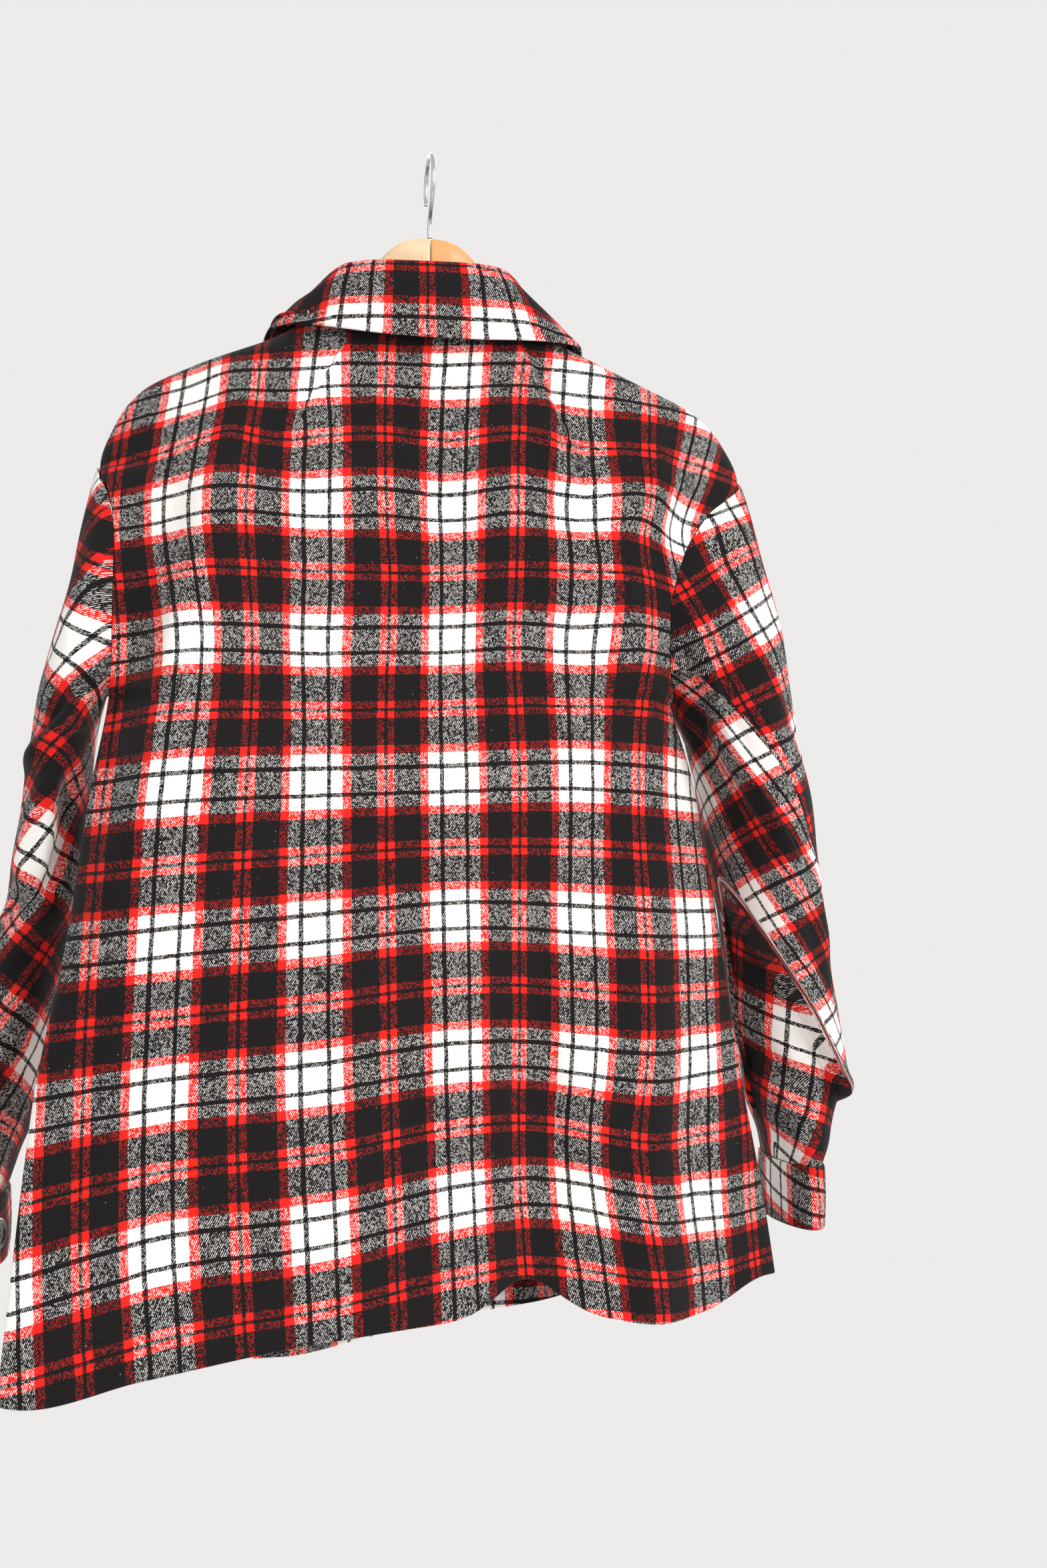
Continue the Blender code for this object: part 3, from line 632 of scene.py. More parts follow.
def backDrop(x, z):
    # how far a row of the back hangs from level, which also shapes the hem: a slope, a sag to
    # the right, a dip and the right corner's lift, then the left side's swell and corner
    low = ramp(-z, 0.45, 0.78)
    return (0.045 * x - 0.022 * ramp(x, 0.05, 0.19) * low
            + 0.021 * np.exp(-((x - 0.064) / 0.032) ** 2) * ramp(-z, 0.62, 0.86)
            + 0.020 * ramp(x, 0.205, 0.270) * ramp(-z, 0.70, 0.86)
            + (0.008 * np.exp(-((x + 0.08) / 0.12) ** 2) - 0.011 * ramp(-x, 0.20, 0.285))
            * ramp(-z, 0.70, 0.86))


# where the check hangs on the back: column and row, counted in repeats between the middles of
# its white crossings, then x and z
hungCheck = np.array([
    [-1, 0, -0.175, -0.193], [0, 0, -0.084, -0.178], [1, 0, 0.017, -0.173], [2, 0, 0.113, -0.170],
    [3, 0, 0.223, -0.177],
    [-1, 1, -0.187, -0.283], [0, 1, -0.088, -0.278], [1, 1, 0.012, -0.275], [2, 1, 0.109, -0.270],
    [3, 1, 0.188, -0.280],
    [-1, 2, -0.176, -0.382], [0, 2, -0.090, -0.379], [1, 2, 0.0114, -0.3725], [2, 2, 0.1102, -0.3681],
    [-1, 3, -0.185, -0.486], [0, 3, -0.090, -0.480], [1, 3, 0.010, -0.475], [2, 3, 0.110, -0.470],
    [3, 3, 0.200, -0.474],
    [-1, 4, -0.190, -0.588], [0, 4, -0.091, -0.580], [1, 4, 0.010, -0.572], [2, 4, 0.107, -0.576],
    [3, 4, 0.206, -0.581],
    [-1, 5, -0.193, -0.686], [0, 5, -0.091, -0.680], [1, 5, 0.011, -0.670], [2, 5, 0.107, -0.678],
    [3, 5, 0.205, -0.684],
    [-2, 6, -0.285, -0.805], [-1, 6, -0.192, -0.784], [0, 6, -0.087, -0.780],
    [1, 6, 0.013, -0.768], [2, 6, 0.104, -0.774], [3, 6, 0.205, -0.791],
    [0.500, 0.5, -0.0369, -0.2197], [1.507, 0.497, 0.0635, -0.2137], [2.497, 0.502, 0.1661, -0.2211],
    [0.500, 1.5, -0.0348, -0.3255], [1.500, 1.5, 0.0608, -0.3177], [2.500, 1.5, 0.1666, -0.3178],
    [0.500, 1.0, -0.0368, -0.2729], [1.500, 1.0, 0.0620, -0.2653], [2.500, 1.0, 0.1659, -0.2649],
    [0.500, 2.0, -0.0358, -0.3747], [1.500, 2.0, 0.0585, -0.3669], [2.500, 2.0, 0.1703, -0.3637],
    [1.990, 0.504, 0.1094, -0.2227], [1.002, 0.499, 0.0143, -0.2219], [0.000, 0.5, -0.0856, -0.2246],
    [-0.500, 0.5, -0.1338, -0.2259], [-0.485, 0.006, -0.1284, -0.1818],
    [-0.720, 0.004, -0.1486, -0.1820], [-0.680, 0.5, -0.1494, -0.2226],
    [-0.225, 0.5, -0.1085, -0.2289],
    [3.500, 5.0, 0.2469, -0.6811], [3.500, 5.5, 0.2504, -0.7351], [3.500, 6.0, 0.2493, -0.7914],
    [3.500, 6.5, 0.2517, -0.8360], [3.000, 6.5, 0.2112, -0.8400], [2.500, 5.5, 0.1473, -0.7364]])
# the two tucks from the shoulders: top and end of each stitched line, its outer side, and how
# much it takes in across and down
tucks = ((-0.066, -0.150, -0.106, -0.222, -1, 0.011, 0.0045),
         (0.068, -0.141, 0.1245, -0.258, 1, 0.011, 0.0050))
tuck = {"ease": 0.05, "grooveDeep": 0.0014, "grooveWide": 0.0012, "proud": 0.0012, "proudWide": 0.012}


def plateMap(spots, want, x, z):
    # a smooth plate bent through known crossings of the check, a sum of r^2 log r about each,
    # gives column and row at any place
    def kernel(a, b):
        square = ((a[:, None, :] - b[None, :, :]) ** 2).sum(2)
        return square * np.log(square + 1e-12) / 2

    count = len(spots)
    flat = np.c_[np.ones(count), spots]
    system = np.block([[kernel(spots, spots) + 2e-5 * np.eye(count), flat], [flat.T, np.zeros((3, 3))]])
    weights = np.linalg.solve(system, np.r_[want, np.zeros((3, 2))])
    at = np.stack([x.ravel(), z.ravel()], 1)
    value = np.concatenate([kernel(part, spots) @ weights[:count]
                            + np.c_[np.ones(len(part)), part] @ weights[count:]
                            for part in np.array_split(at, 20)])
    return value.reshape(*x.shape, 2) * check["repeat"]


def tuckShift(x, z):
    # cloth taken in by the tucks: the check jumps across each stitched line and eases out
    out = np.zeros((*x.shape, 2))
    for x0, z0, x1, z1, side, take, fall in tucks:
        share = np.clip((z0 - z) / (z0 - z1), 0, 1)
        line = x0 + (x1 - x0) * share
        away = (x - line) * side
        amount = (1 - share) ** 0.8 * np.exp(-np.clip(np.abs(away), 0, 1) / tuck["ease"]) / 2
        out[..., 0] += side * take * amount * np.sign(away)
        out[..., 1] -= fall * amount * np.sign(away)
    return out


def tuckCrease(x, z):
    # a fine groove along each tuck's stitching, with the outer side standing a little proud
    out = 0 * x
    for x0, z0, x1, z1, side, *takes in tucks:
        share = np.clip((z0 - z) / (z0 - z1), 0, 1)
        away = (x - x0 - (x1 - x0) * share) * side
        fade = 1 - ramp(-z, -z1 - 0.012, -z1 + 0.004)
        out = out - tuck["grooveDeep"] * np.exp(-(away / tuck["grooveWide"]) ** 2) * fade
        outer = np.exp(-np.clip(away, 0, 1) / tuck["proudWide"]) * (away > 0)
        out = out + tuck["proud"] * outer * fade
    return out


rowHeights = neckHeight + (hemHeight - neckHeight) * fineEnds(210, neckHeight - hemHeight)


def hemWall(grid, thick):
    # the wall grows from the cloth's to the turned hem's over the hem's depth
    up = np.clip((grid[:, :, 2] - grid[-1:, :, 2]) / cloth["hemDeep"], 0, 1)
    return cloth["wall"] + (thick - cloth["wall"]) * (1 - ramp(up, 0.85, 1.0))


def backGrid(count=216):
    # rows level at first, then dropped by backDrop; points crowd towards the side seams
    share = fineEnds(count, 0.5)
    share = share - np.sin(2 * pi * share) / (2 * pi) * 0.45
    z = np.repeat(rowHeights[:, None], len(share), 1)
    left, right = sideEdges(z)
    x = left + (right - left) * share[None, :]
    side = np.abs((x - centreBack) / np.where(x < centreBack, centreBack - left, right - centreBack))
    drop = backDrop(x, z) * belowNeck(z) * (1 - 0.5 * side**8)
    dip = -0.0075 * (1 - side**2) * ramp(z, -0.142, neckHeight)
    y = backY(x, z) - tuckCrease(x, z + drop)
    return np.stack([x, y - cloth["seam"] / 2, z + drop + dip], 2)


back = backGrid()
backUv = plateMap(hungCheck[:, 2:4], hungCheck[:, 0:2], back[:, :, 0], back[:, :, 2])
backUv += tuckShift(back[:, :, 0], back[:, :, 2])
backPiece = clothShell("back_cloth", back, backUv, hemWall(back, cloth["hemWall"]), wool)
print("back made:", len(backPiece.data.polygons), "faces")


def frontLow(z):
    # 0 down to the lower third, 1 at the hem
    return ramp(-z, 0.60, -hemHeight)


def frontGrid(side, count=108):
    # from the front edge round to the side seam; the neckline is a quarter of an ellipse
    z = np.repeat(rowHeights[:, None], count + 8, 1)
    share = fineEnds(count, 0.25)[None, :]
    share = np.sin(share * pi / 2) * 0.6 + share * 0.4
    edge = sideEdge(side, z)
    down = np.clip((neckHeight - z) / neckDrop, 0, 1)
    start = centreBack + side * (-front["lap"] + (neckHalf + front["lap"]) * np.sqrt(1 - down**2))
    close = np.abs(edge - centreBack) < np.abs(start - centreBack) + 0.006
    start = np.where(close, edge - side * 0.006, start)
    x = start + (edge - start) * share
    y = frontY(x, z) + cloth["seam"] / 2
    if side > 0:
        y = y + front["lapLift"] * ramp(-(x - centreBack), -0.055, -0.025)
    part = np.abs((x - centreBack) / (edge - centreBack))
    drop = -np.clip(0.012 - 0.08 * x, 0.002, 0.020) * (1 - np.clip(part, 0, 1) ** 2) * frontLow(z)
    end = backDrop(edge, z) * 0.5 * belowNeck(z)
    return np.stack([x, y, z + drop + end * part**2], 2)


def frontPattern(grid, side):
    # columns of the check follow the front edge, rows run level as they were matched in sewing
    across = pathLength(grid, 1)
    u = side * across + grid[:, :1, 0] - centreBack + front["checkAcross"]
    v = -grid[:, :, 2] * front["checkStretch"] + front["checkDown"]
    return np.stack([u, v], 2)


for side, name in ((-1, "left_front"), (1, "right_front")):
    grid = frontGrid(side)
    made = clothShell(name + "_cloth", grid, frontPattern(grid, side),
                      hemWall(grid, front["hemWall"]), wool, flip=side > 0)
    standIn(made, name)
print("fronts made")

standIn(backPiece, "back")

# sleeves and cuffs

sleeveEnd, cuffTop, cuffBase = -0.767, -0.768, -0.816

# below the armhole: centre, half widths across and front to back
sleeveShape = {1: np.array([
    # z      x      y      across depth
    [-0.250, 0.233, 0.024, 0.027, 0.040],
    [-0.290, 0.237, 0.028, 0.032, 0.052],
    [-0.340, 0.243, 0.034, 0.040, 0.062],
    [-0.422, 0.255, 0.042, 0.043, 0.070],
    [-0.480, 0.269, 0.046, 0.041, 0.070],
    [-0.538, 0.277, 0.048, 0.040, 0.069],
    [-0.600, 0.286, 0.048, 0.038, 0.067],
    [-0.655, 0.293, 0.046, 0.040, 0.065],
    [-0.712, 0.302, 0.046, 0.038, 0.062],
    [-0.747, 0.302, 0.050, 0.024, 0.060],
    [-0.767, 0.3005, 0.052, 0.0165, 0.057]]),
    -1: np.array([
        [-0.250, -0.240, 0.010, 0.009, 0.040],
        [-0.290, -0.243, 0.006, 0.012, 0.052],
        [-0.340, -0.246, -0.004, 0.015, 0.054],
        [-0.390, -0.254, -0.020, 0.019, 0.044],
        [-0.438, -0.262, -0.014, 0.023, 0.054],
        [-0.500, -0.2692, 0.004, 0.0238, 0.068],
        [-0.563, -0.2755, 0.014, 0.0275, 0.072],
        [-0.600, -0.2880, 0.022, 0.0310, 0.070],
        [-0.655, -0.301, 0.022, 0.032, 0.067],
        [-0.705, -0.310, 0.022, 0.031, 0.064],
        [-0.745, -0.316, 0.022, 0.023, 0.060],
        [-0.767, -0.317, 0.022, 0.0165, 0.057]])}

# the long seam that each sleeve's check starts from: height and angle round the sleeve, in
# degrees from the outer side, 90 at the back and 180 at the inner side
sleeveSeam = {1: np.array([[-0.240, 205.0], [-0.330, 180.0], [-0.388, 143.0], [-0.429, 106.0],
                           [-0.468, 81.0], [-0.506, 60.0], [-0.540, 50.0], [-0.600, 36.0],
                           [-0.700, 25.0], [-0.780, 22.0]]),
              -1: np.array([[-0.240, 205.0], [-0.360, 190.0], [-0.500, 176.0], [-0.780, 165.0]])}
# how the check lies on the unrolled sleeve, for each layer: (start, by arc, by height) of its
# columns and of its rows. The layers of a sleeve meet in front between these shares of a turn.
sleeveLook = {1: {"inner": ((0.3976, 1.029, 0.654), (-0.3364, 0.366, -0.843)),
                  "forearm": ((-0.0240, 0.807, -0.138), (-0.6667, -0.322, -0.954))},
              -1: {"inner": ((-0.2183, 0.823, -0.475), (-0.2937, -0.475, -0.823)),
                   "outer": ((-0.2183, 0.823, -0.475), (-0.2937, -0.475, -0.823))}}
sleevesMeet = {"from": 0.38, "to": 0.66, "matchedFrom": 0.45, "matchedTo": 0.60}
# and where it twists, on the right sleeve beyond its long seam: column, row, arc, z
twistedCheck = np.array([
    [-0.093, 0.093, -0.063, -0.266], [0.093, 0.093, -0.040, -0.259], [-0.093, 0.500, -0.077, -0.304],
    [0.093, 0.500, -0.042, -0.292], [-0.093, 0.907, -0.077, -0.341], [-0.093, 1.093, -0.073, -0.356],
    [-0.500, 0.500, -0.123, -0.326], [-0.500, 0.907, -0.115, -0.360], [-0.500, 1.093, -0.114, -0.376],
    [-0.500, 1.500, -0.106, -0.413], [-0.093, 1.500, -0.058, -0.393], [-0.500, 1.907, -0.091, -0.446],
    [-0.500, 2.093, -0.082, -0.466], [-0.500, 2.500, -0.064, -0.506]])

# creases of the half seen from behind (back) and of the other half (front): x0, z0, x1, z1,
# bow, width, sharper side, height
sleeveCreases = {
    1: {"back": ((0.196, -0.346, 0.292, -0.548, 0.004, 0.008, 0.20, 0.0062),
                 (0.188, -0.366, 0.276, -0.552, 0.004, 0.007, 0.50, -0.0060),
                 (0.262, -0.300, 0.300, -0.470, 0.004, 0.012, 0.7, -0.0024),
                 (0.230, -0.300, 0.215, -0.370, 0.004, 0.011, 0.7, -0.0026),
                 (0.300, -0.520, 0.318, -0.610, 0.004, 0.010, 0.6, 0.0030),
                 (0.290, -0.560, 0.314, -0.640, 0.002, 0.010, 0.6, -0.0028),
                 (0.268, -0.700, 0.312, -0.735, 0.003, 0.010, 0.6, 0.0040),
                 (0.262, -0.672, 0.300, -0.706, 0.004, 0.012, 0.6, -0.0034),
                 (0.318, -0.708, 0.336, -0.706, 0.000, 0.013, 0.7, 0.0050)),
        "front": ((0.220, -0.400, 0.290, -0.500, 0.006, 0.012, 0.5, -0.0045),
                  (0.240, -0.470, 0.310, -0.560, 0.004, 0.013, 0.6, 0.0045),
                  (0.250, -0.560, 0.320, -0.640, 0.004, 0.012, 0.5, -0.0050),
                  (0.260, -0.650, 0.325, -0.720, -0.004, 0.012, 0.6, 0.0040))},
    -1: {"back": ((-0.246, -0.330, -0.276, -0.430, 0.004, 0.009, 0.6, 0.0020),
                  (-0.240, -0.415, -0.284, -0.452, 0.005, 0.009, 0.5, -0.0070),
                  (-0.246, -0.440, -0.290, -0.470, 0.004, 0.008, 0.5, 0.0050),
                  (-0.252, -0.470, -0.268, -0.560, -0.006, 0.009, 0.5, -0.0105),
                  (-0.268, -0.480, -0.286, -0.560, 0.006, 0.008, 0.6, 0.0060),
                  (-0.258, -0.552, -0.300, -0.570, 0.004, 0.009, 0.6, -0.0055),
                  (-0.262, -0.580, -0.305, -0.640, 0.004, 0.010, 0.5, -0.0040),
                  (-0.280, -0.660, -0.335, -0.700, 0.004, 0.011, 0.6, 0.0036),
                  (-0.285, -0.700, -0.335, -0.745, 0.004, 0.011, 0.6, -0.0040)),
         "front": ((-0.240, -0.380, -0.280, -0.460, 0.004, 0.010, 0.5, -0.0040),
                   (-0.250, -0.450, -0.290, -0.540, 0.004, 0.011, 0.6, 0.0040),
                   (-0.260, -0.540, -0.305, -0.620, 0.004, 0.011, 0.5, -0.0045),
                   (-0.280, -0.640, -0.330, -0.720, 0.004, 0.012, 0.6, 0.0036))}}


def sleeveSection(side, z):
    # centre x and y, and half widths across and front to back
    return [between(sleeveShape[side], z, column) for column in (1, 2, 3, 4)]


def armholeLoop(side, angles):
    # the armhole's edge on the body: height over cos, and half its width over the sign of sin
    z = holeMiddle + holeHigh * np.cos(angles)
    x = sideEdge(side, z)
    y = between(bodyShape, z, 4 if side > 0 else 3) - hole(z) * np.sign(np.sin(angles))
    return np.stack([x, y, z + backDrop(x, z) * 0.5 * belowNeck(z)], -1)


# the slanting fold at the right elbow: height and x along it, how deep it steps back and over
# what width, and the heights between which it comes and goes
elbow = {"fold": np.array([[-0.500, 0.215], [-0.549, 0.238], [-0.595, 0.262], [-0.648, 0.294],
                           [-0.694, 0.322], [-0.740, 0.350]]),
         "deep": 0.026, "outer": -0.002, "inner": 0.007,
         "comes": (0.525, 0.590), "goes": (0.705, 0.765)}
# a sleeve's rings: how many points and rings, from which share of its length they are level
# and fully round, and how far they stand clear of the armhole
sleeve = {"around": 204, "down": 196, "levelFrom": 0.32, "roundFrom": 0.16, "clear": 0.0012}


def underElbow(x, z):
    # how far a point of the right sleeve lies inside the slanting fold
    return between(elbow["fold"], z, 1) - x


def elbowTuck(side, x, z):
    # the right forearm folds in under the elbow: below the slanting fold the cloth steps back
    if side < 0:
        return 0 * x
    deep = elbow["deep"] * ramp(-z, *elbow["comes"]) * (1 - ramp(-z, *elbow["goes"]))
    return deep * ramp(underElbow(x, z), elbow["outer"], elbow["inner"])


def sleeveGrid(side):
    # rings about the sleeve's axis, ellipses x + a cos, y - b sin, blended from the armhole
    # loop; the columns start at the long seam and wind with it
    share = fineEnds(sleeve["down"], 0.5)[:, None]
    level = holeMiddle + (cuffTop - holeMiddle) * share
    turn = 2 * pi * np.arange(sleeve["around"])[None, :] / sleeve["around"]
    tilt = 1 - ramp(share, 0, sleeve["levelFrom"])
    # on each ring the seam starts where its own angle for that height is met
    trial = np.radians(np.linspace(0, 240, 961))[None, :]
    inside = trial > np.radians(between(sleeveSeam[side], level + tilt * holeHigh * np.cos(trial), 1))
    start = trial[0, np.argmax(inside, axis=1)]
    start = np.convolve(np.pad(start, 6, mode="edge"), np.ones(13) / 13, "valid")
    angles = start[:, None] + turn
    z = level + tilt * holeHigh * np.cos(angles)
    x, y, across, deep = sleeveSection(side, z)
    ring = np.stack([x + side * across * np.cos(angles), y - deep * np.sin(angles), z], 2)
    first = armholeLoop(side, angles)
    first[:, :, 0] += side * sleeve["clear"] * np.cos(angles) ** 2
    keep = (1 - ramp(share, 0, sleeve["roundFrom"]))[:, :, None]
    grid = ring * (1 - keep) + first * keep
    behind = ramp(np.sin(angles), -0.05, 0.35)
    ahead = ramp(-np.sin(angles), -0.05, 0.35)
    normal = surfaceNormal(grid, True, side > 0)
    lift = (creases(grid[:, :, 0], z, sleeveCreases[side]["back"]) * behind
            + creases(grid[:, :, 0], z, sleeveCreases[side]["front"]) * ahead
            + ripple(grid[:, :, 0] + grid[:, :, 1], z, 0.0011, 3 + side))
    free = ramp(share, 0.02, 0.14) * (1 - ramp(share, 0.965, 1.0))
    grid = grid + normal * (lift * free)[:, :, None]
    grid[:, :, 1] += elbowTuck(side, grid[:, :, 0], z) * behind
    return grid, angles


def arcFromOuter(side, z, angles):
    # arc of the level ellipse (across, deep) from the sleeve's outer side to an angle, summed
    # in fine steps and read between the nearest heights and angles
    levels, turns = np.linspace(cuffBase, -0.20, 130), np.linspace(0, 4 * pi, 1441)
    across, deep = sleeveSection(side, levels)[2:]
    step = np.hypot(across[:, None] * np.sin(turns), deep[:, None] * np.cos(turns)) * turns[1]
    arcs = np.cumsum(step, axis=1)
    row = np.clip((z - levels[0]) / (levels[1] - levels[0]), 0, len(levels) - 1.001)
    column = angles / turns[1]
    r, c = row.astype(int), column.astype(int)
    p, q = row - r, column - c
    return ((arcs[r, c] * (1 - q) + arcs[r, c + 1] * q) * (1 - p)
            + (arcs[r + 1, c] * (1 - q) + arcs[r + 1, c + 1] * q) * p)


def sleeveArc(side, x, z, angles):
    # where the right armhole pulls a ring in from its ellipse, the cloth lies that much
    # further round
    arc = arcFromOuter(side, z, angles)
    if side < 0:
        return arc
    section = sleeveSection(side, z)
    return arc + side * (section[0] + side * section[2] * np.cos(angles) - x) * np.sin(angles)


def sleevePattern(side, grid, angles):
    # the check runs straight on the unrolled sleeve, at a slant, and differs where the long
    # seam and the elbow's fold part the cloth. The two sides of the seam meet softly in front.
    look, z = sleeveLook[side], grid[:, :, 2]
    z, angles = np.c_[z, z[:, :1]], np.c_[angles, angles[:, :1] + 2 * pi]
    x = np.c_[grid[:, :, 0], grid[:, :1, 0]]
    arc = sleeveArc(side, x, z, angles)
    fullTurn = arcFromOuter(side, z, 0 * z + 2 * pi)
    behind = ramp(np.sin(angles), -0.05, 0.20)
    fore = behind * ramp(underElbow(x, z), -0.004, 0.0) * ramp(-z, 0.50, 0.53)
    fore += (1 - behind) * ramp(-z, 0.52, 0.74)
    maps = []
    for place, layer in ((-side * arc, "inner"), (-side * (arc - fullTurn), "outer")):
        if layer in look:
            plain = slanted(look[layer], place, z)
        else:
            plain = plateMap(twistedCheck[:, 2:4], twistedCheck[:, 0:2], place, z)
        if side > 0:
            plain += (slanted(look["forearm"], place, z) - plain) * fore[:, :, None]
        maps.append(plain)
    turned = np.arange(z.shape[1])[None, :, None] / (z.shape[1] - 1)
    near = (turned > sleevesMeet["matchedFrom"]) & (turned < sleevesMeet["matchedTo"])
    apart = ((maps[0] - maps[1]) * near).sum((0, 1)) / (near.sum() * len(z))
    other = maps[1] + np.round(apart / check["repeat"]) * check["repeat"]
    return maps[0] + (other - maps[0]) * ramp(turned, sleevesMeet["from"], sleevesMeet["to"])


def slanted(layer, place, z):
    (startU, acrossU, heightU), (startV, acrossV, heightV) = layer
    return np.stack([startU + acrossU * place + heightU * z, startV + acrossV * place + heightV * z], 2)


for side, name in ((-1, "left_sleeve"), (1, "right_sleeve")):
    grid, angles = sleeveGrid(side)
    made = clothShell(name + "_cloth", grid, sleevePattern(side, grid, angles), cloth["wall"], wool,
                      closed=True, flip=side > 0)
    standIn(made, name)
print("sleeves made")


cuff = {"around": 150, "down": 26, "startTurn": 1.25, "fuller": 0.0018, "swell": 0.0010,
        "wave": 0.010, "wall": 0.0036, "rounded": 0.0018,
        "stitchAt": 0.86, "stitchWide": 0.018, "stitchDeep": 0.0007}
cuffLook = {1: {"across": 0.0495, "down": -0.0256, "turn": -14.0, "lean": 3.0},
            -1: {"across": 0.0300, "down": 0.0280, "turn": -10.0, "lean": -10.0}}


def cuffGrid(side):
    # a flattened ring, a little fuller than the sleeve's end, with a soft turned edge. Its
    # columns start startTurn half turns round from the outer side.
    share = fineEnds(cuff["down"], cuffTop - cuffBase)[:, None]
    turn = 2 * pi * np.arange(cuff["around"])[None, :] / cuff["around"] + pi * cuff["startTurn"]
    z = cuffTop - 0.0002 + (cuffBase - cuffTop) * share + 0 * turn
    x, y, across, deep = sleeveSection(side, sleeveEnd)
    more = cuff["fuller"] + cuff["swell"] * np.sin(share * pi)
    wave = 1 + cuff["wave"] * np.sin(3 * turn + 1) * share
    grid = np.stack([x + side * (across + more) * np.cos(turn) * wave,
                     y - (deep + more) * np.sin(turn) * wave, z], 2)
    groove = cuff["stitchDeep"] * np.exp(-((share - cuff["stitchAt"]) / cuff["stitchWide"]) ** 2)
    return grid - surfaceNormal(grid, True, side > 0) * groove[:, :, None]


def cuffPattern(side, grid):
    # straight round the cuff, measured from the column in the middle of its back
    look = cuffLook[side]
    middle = round(cuff["around"] * (2.5 - cuff["startTurn"]) / 2)
    ringArc = pathLength(np.concatenate([grid, grid[:, :1]], 1), 1)
    ringArc = ringArc - ringArc[:, middle:middle + 1]
    fall = np.repeat(cuffTop - grid[:, :1, 2], ringArc.shape[1], 1)
    turn, lean = radians(look["turn"]), radians(look["lean"])
    return np.stack([-side * (ringArc * cos(turn) + fall * sin(lean)) + look["across"],
                     fall * cos(turn) - ringArc * sin(turn) + look["down"]], 2)


for side, name in ((-1, "left_cuff"), (1, "right_cuff")):
    grid = cuffGrid(side)
    made = clothShell(name + "_cloth", grid, cuffPattern(side, grid), cuff["wall"], wool,
                      closed=True, flip=side > 0, rounded=cuff["rounded"])
    standIn(made, name)
print("cuffs made")

# collar

# from the centre of the back round to the front: neck seam, fold and outer edge
collarShape = np.array([
    # neck x, y, z           fold x, y, z            edge x, y, z
    [0.0000, -0.0180, -0.1255, 0.000, -0.030, -0.0920, 0.000, -0.037, -0.1480],
    [0.0280, -0.0171, -0.1244, 0.030, -0.029, -0.0920, 0.034, -0.036, -0.1470],
    [0.0520, -0.0112, -0.1216, 0.056, -0.023, -0.0930, 0.072, -0.031, -0.1435],
    [0.0665, -0.0012, -0.1168, 0.076, -0.008, -0.1045, 0.104, -0.016, -0.1385],
    [0.0700, 0.0120, -0.1138, 0.083, 0.010, -0.1095, 0.120, 0.010, -0.1345],
    [0.0692, 0.0360, -0.1232, 0.082, 0.037, -0.1140, 0.126, 0.040, -0.1450],
    [0.0620, 0.0530, -0.1525, 0.073, 0.058, -0.1360, 0.125, 0.064, -0.1660],
    [0.0525, 0.0605, -0.1675, 0.062, 0.068, -0.1520, 0.115, 0.080, -0.1940],
    [0.0375, 0.0680, -0.1825, 0.046, 0.079, -0.1660, 0.096, 0.089, -0.2240],
    [0.0120, 0.0725, -0.1960, 0.016, 0.087, -0.1790, 0.062, 0.092, -0.2500]])
collar = {"wall": 0.0030, "rounded": 0.0016, "stitchIn": 0.0065, "stitchDeep": 0.0007,
          "across": 0.0500, "down": 0.0440, "levelRow": 12, "foldLift": 0.0030, "foldTilt": 0.030,
          "edgeTilt": 0.010, "edgeWider": 0.0075}


def smoothThrough(points, count):
    # cubic through evenly spaced points, slopes from the neighbours (first axis)
    place = np.linspace(0, len(points) - 1, count)
    i = np.clip(place.astype(int), 0, len(points) - 2)
    t = (place - i).reshape(-1, *([1] * (points.ndim - 1)))
    slope = np.gradient(points, axis=0)
    return (points[i] * (2 * t**3 - 3 * t**2 + 1) + slope[i] * (t**3 - 2 * t**2 + t)
            + points[i + 1] * (3 * t**2 - 2 * t**3) + slope[i + 1] * (t**3 - t**2))


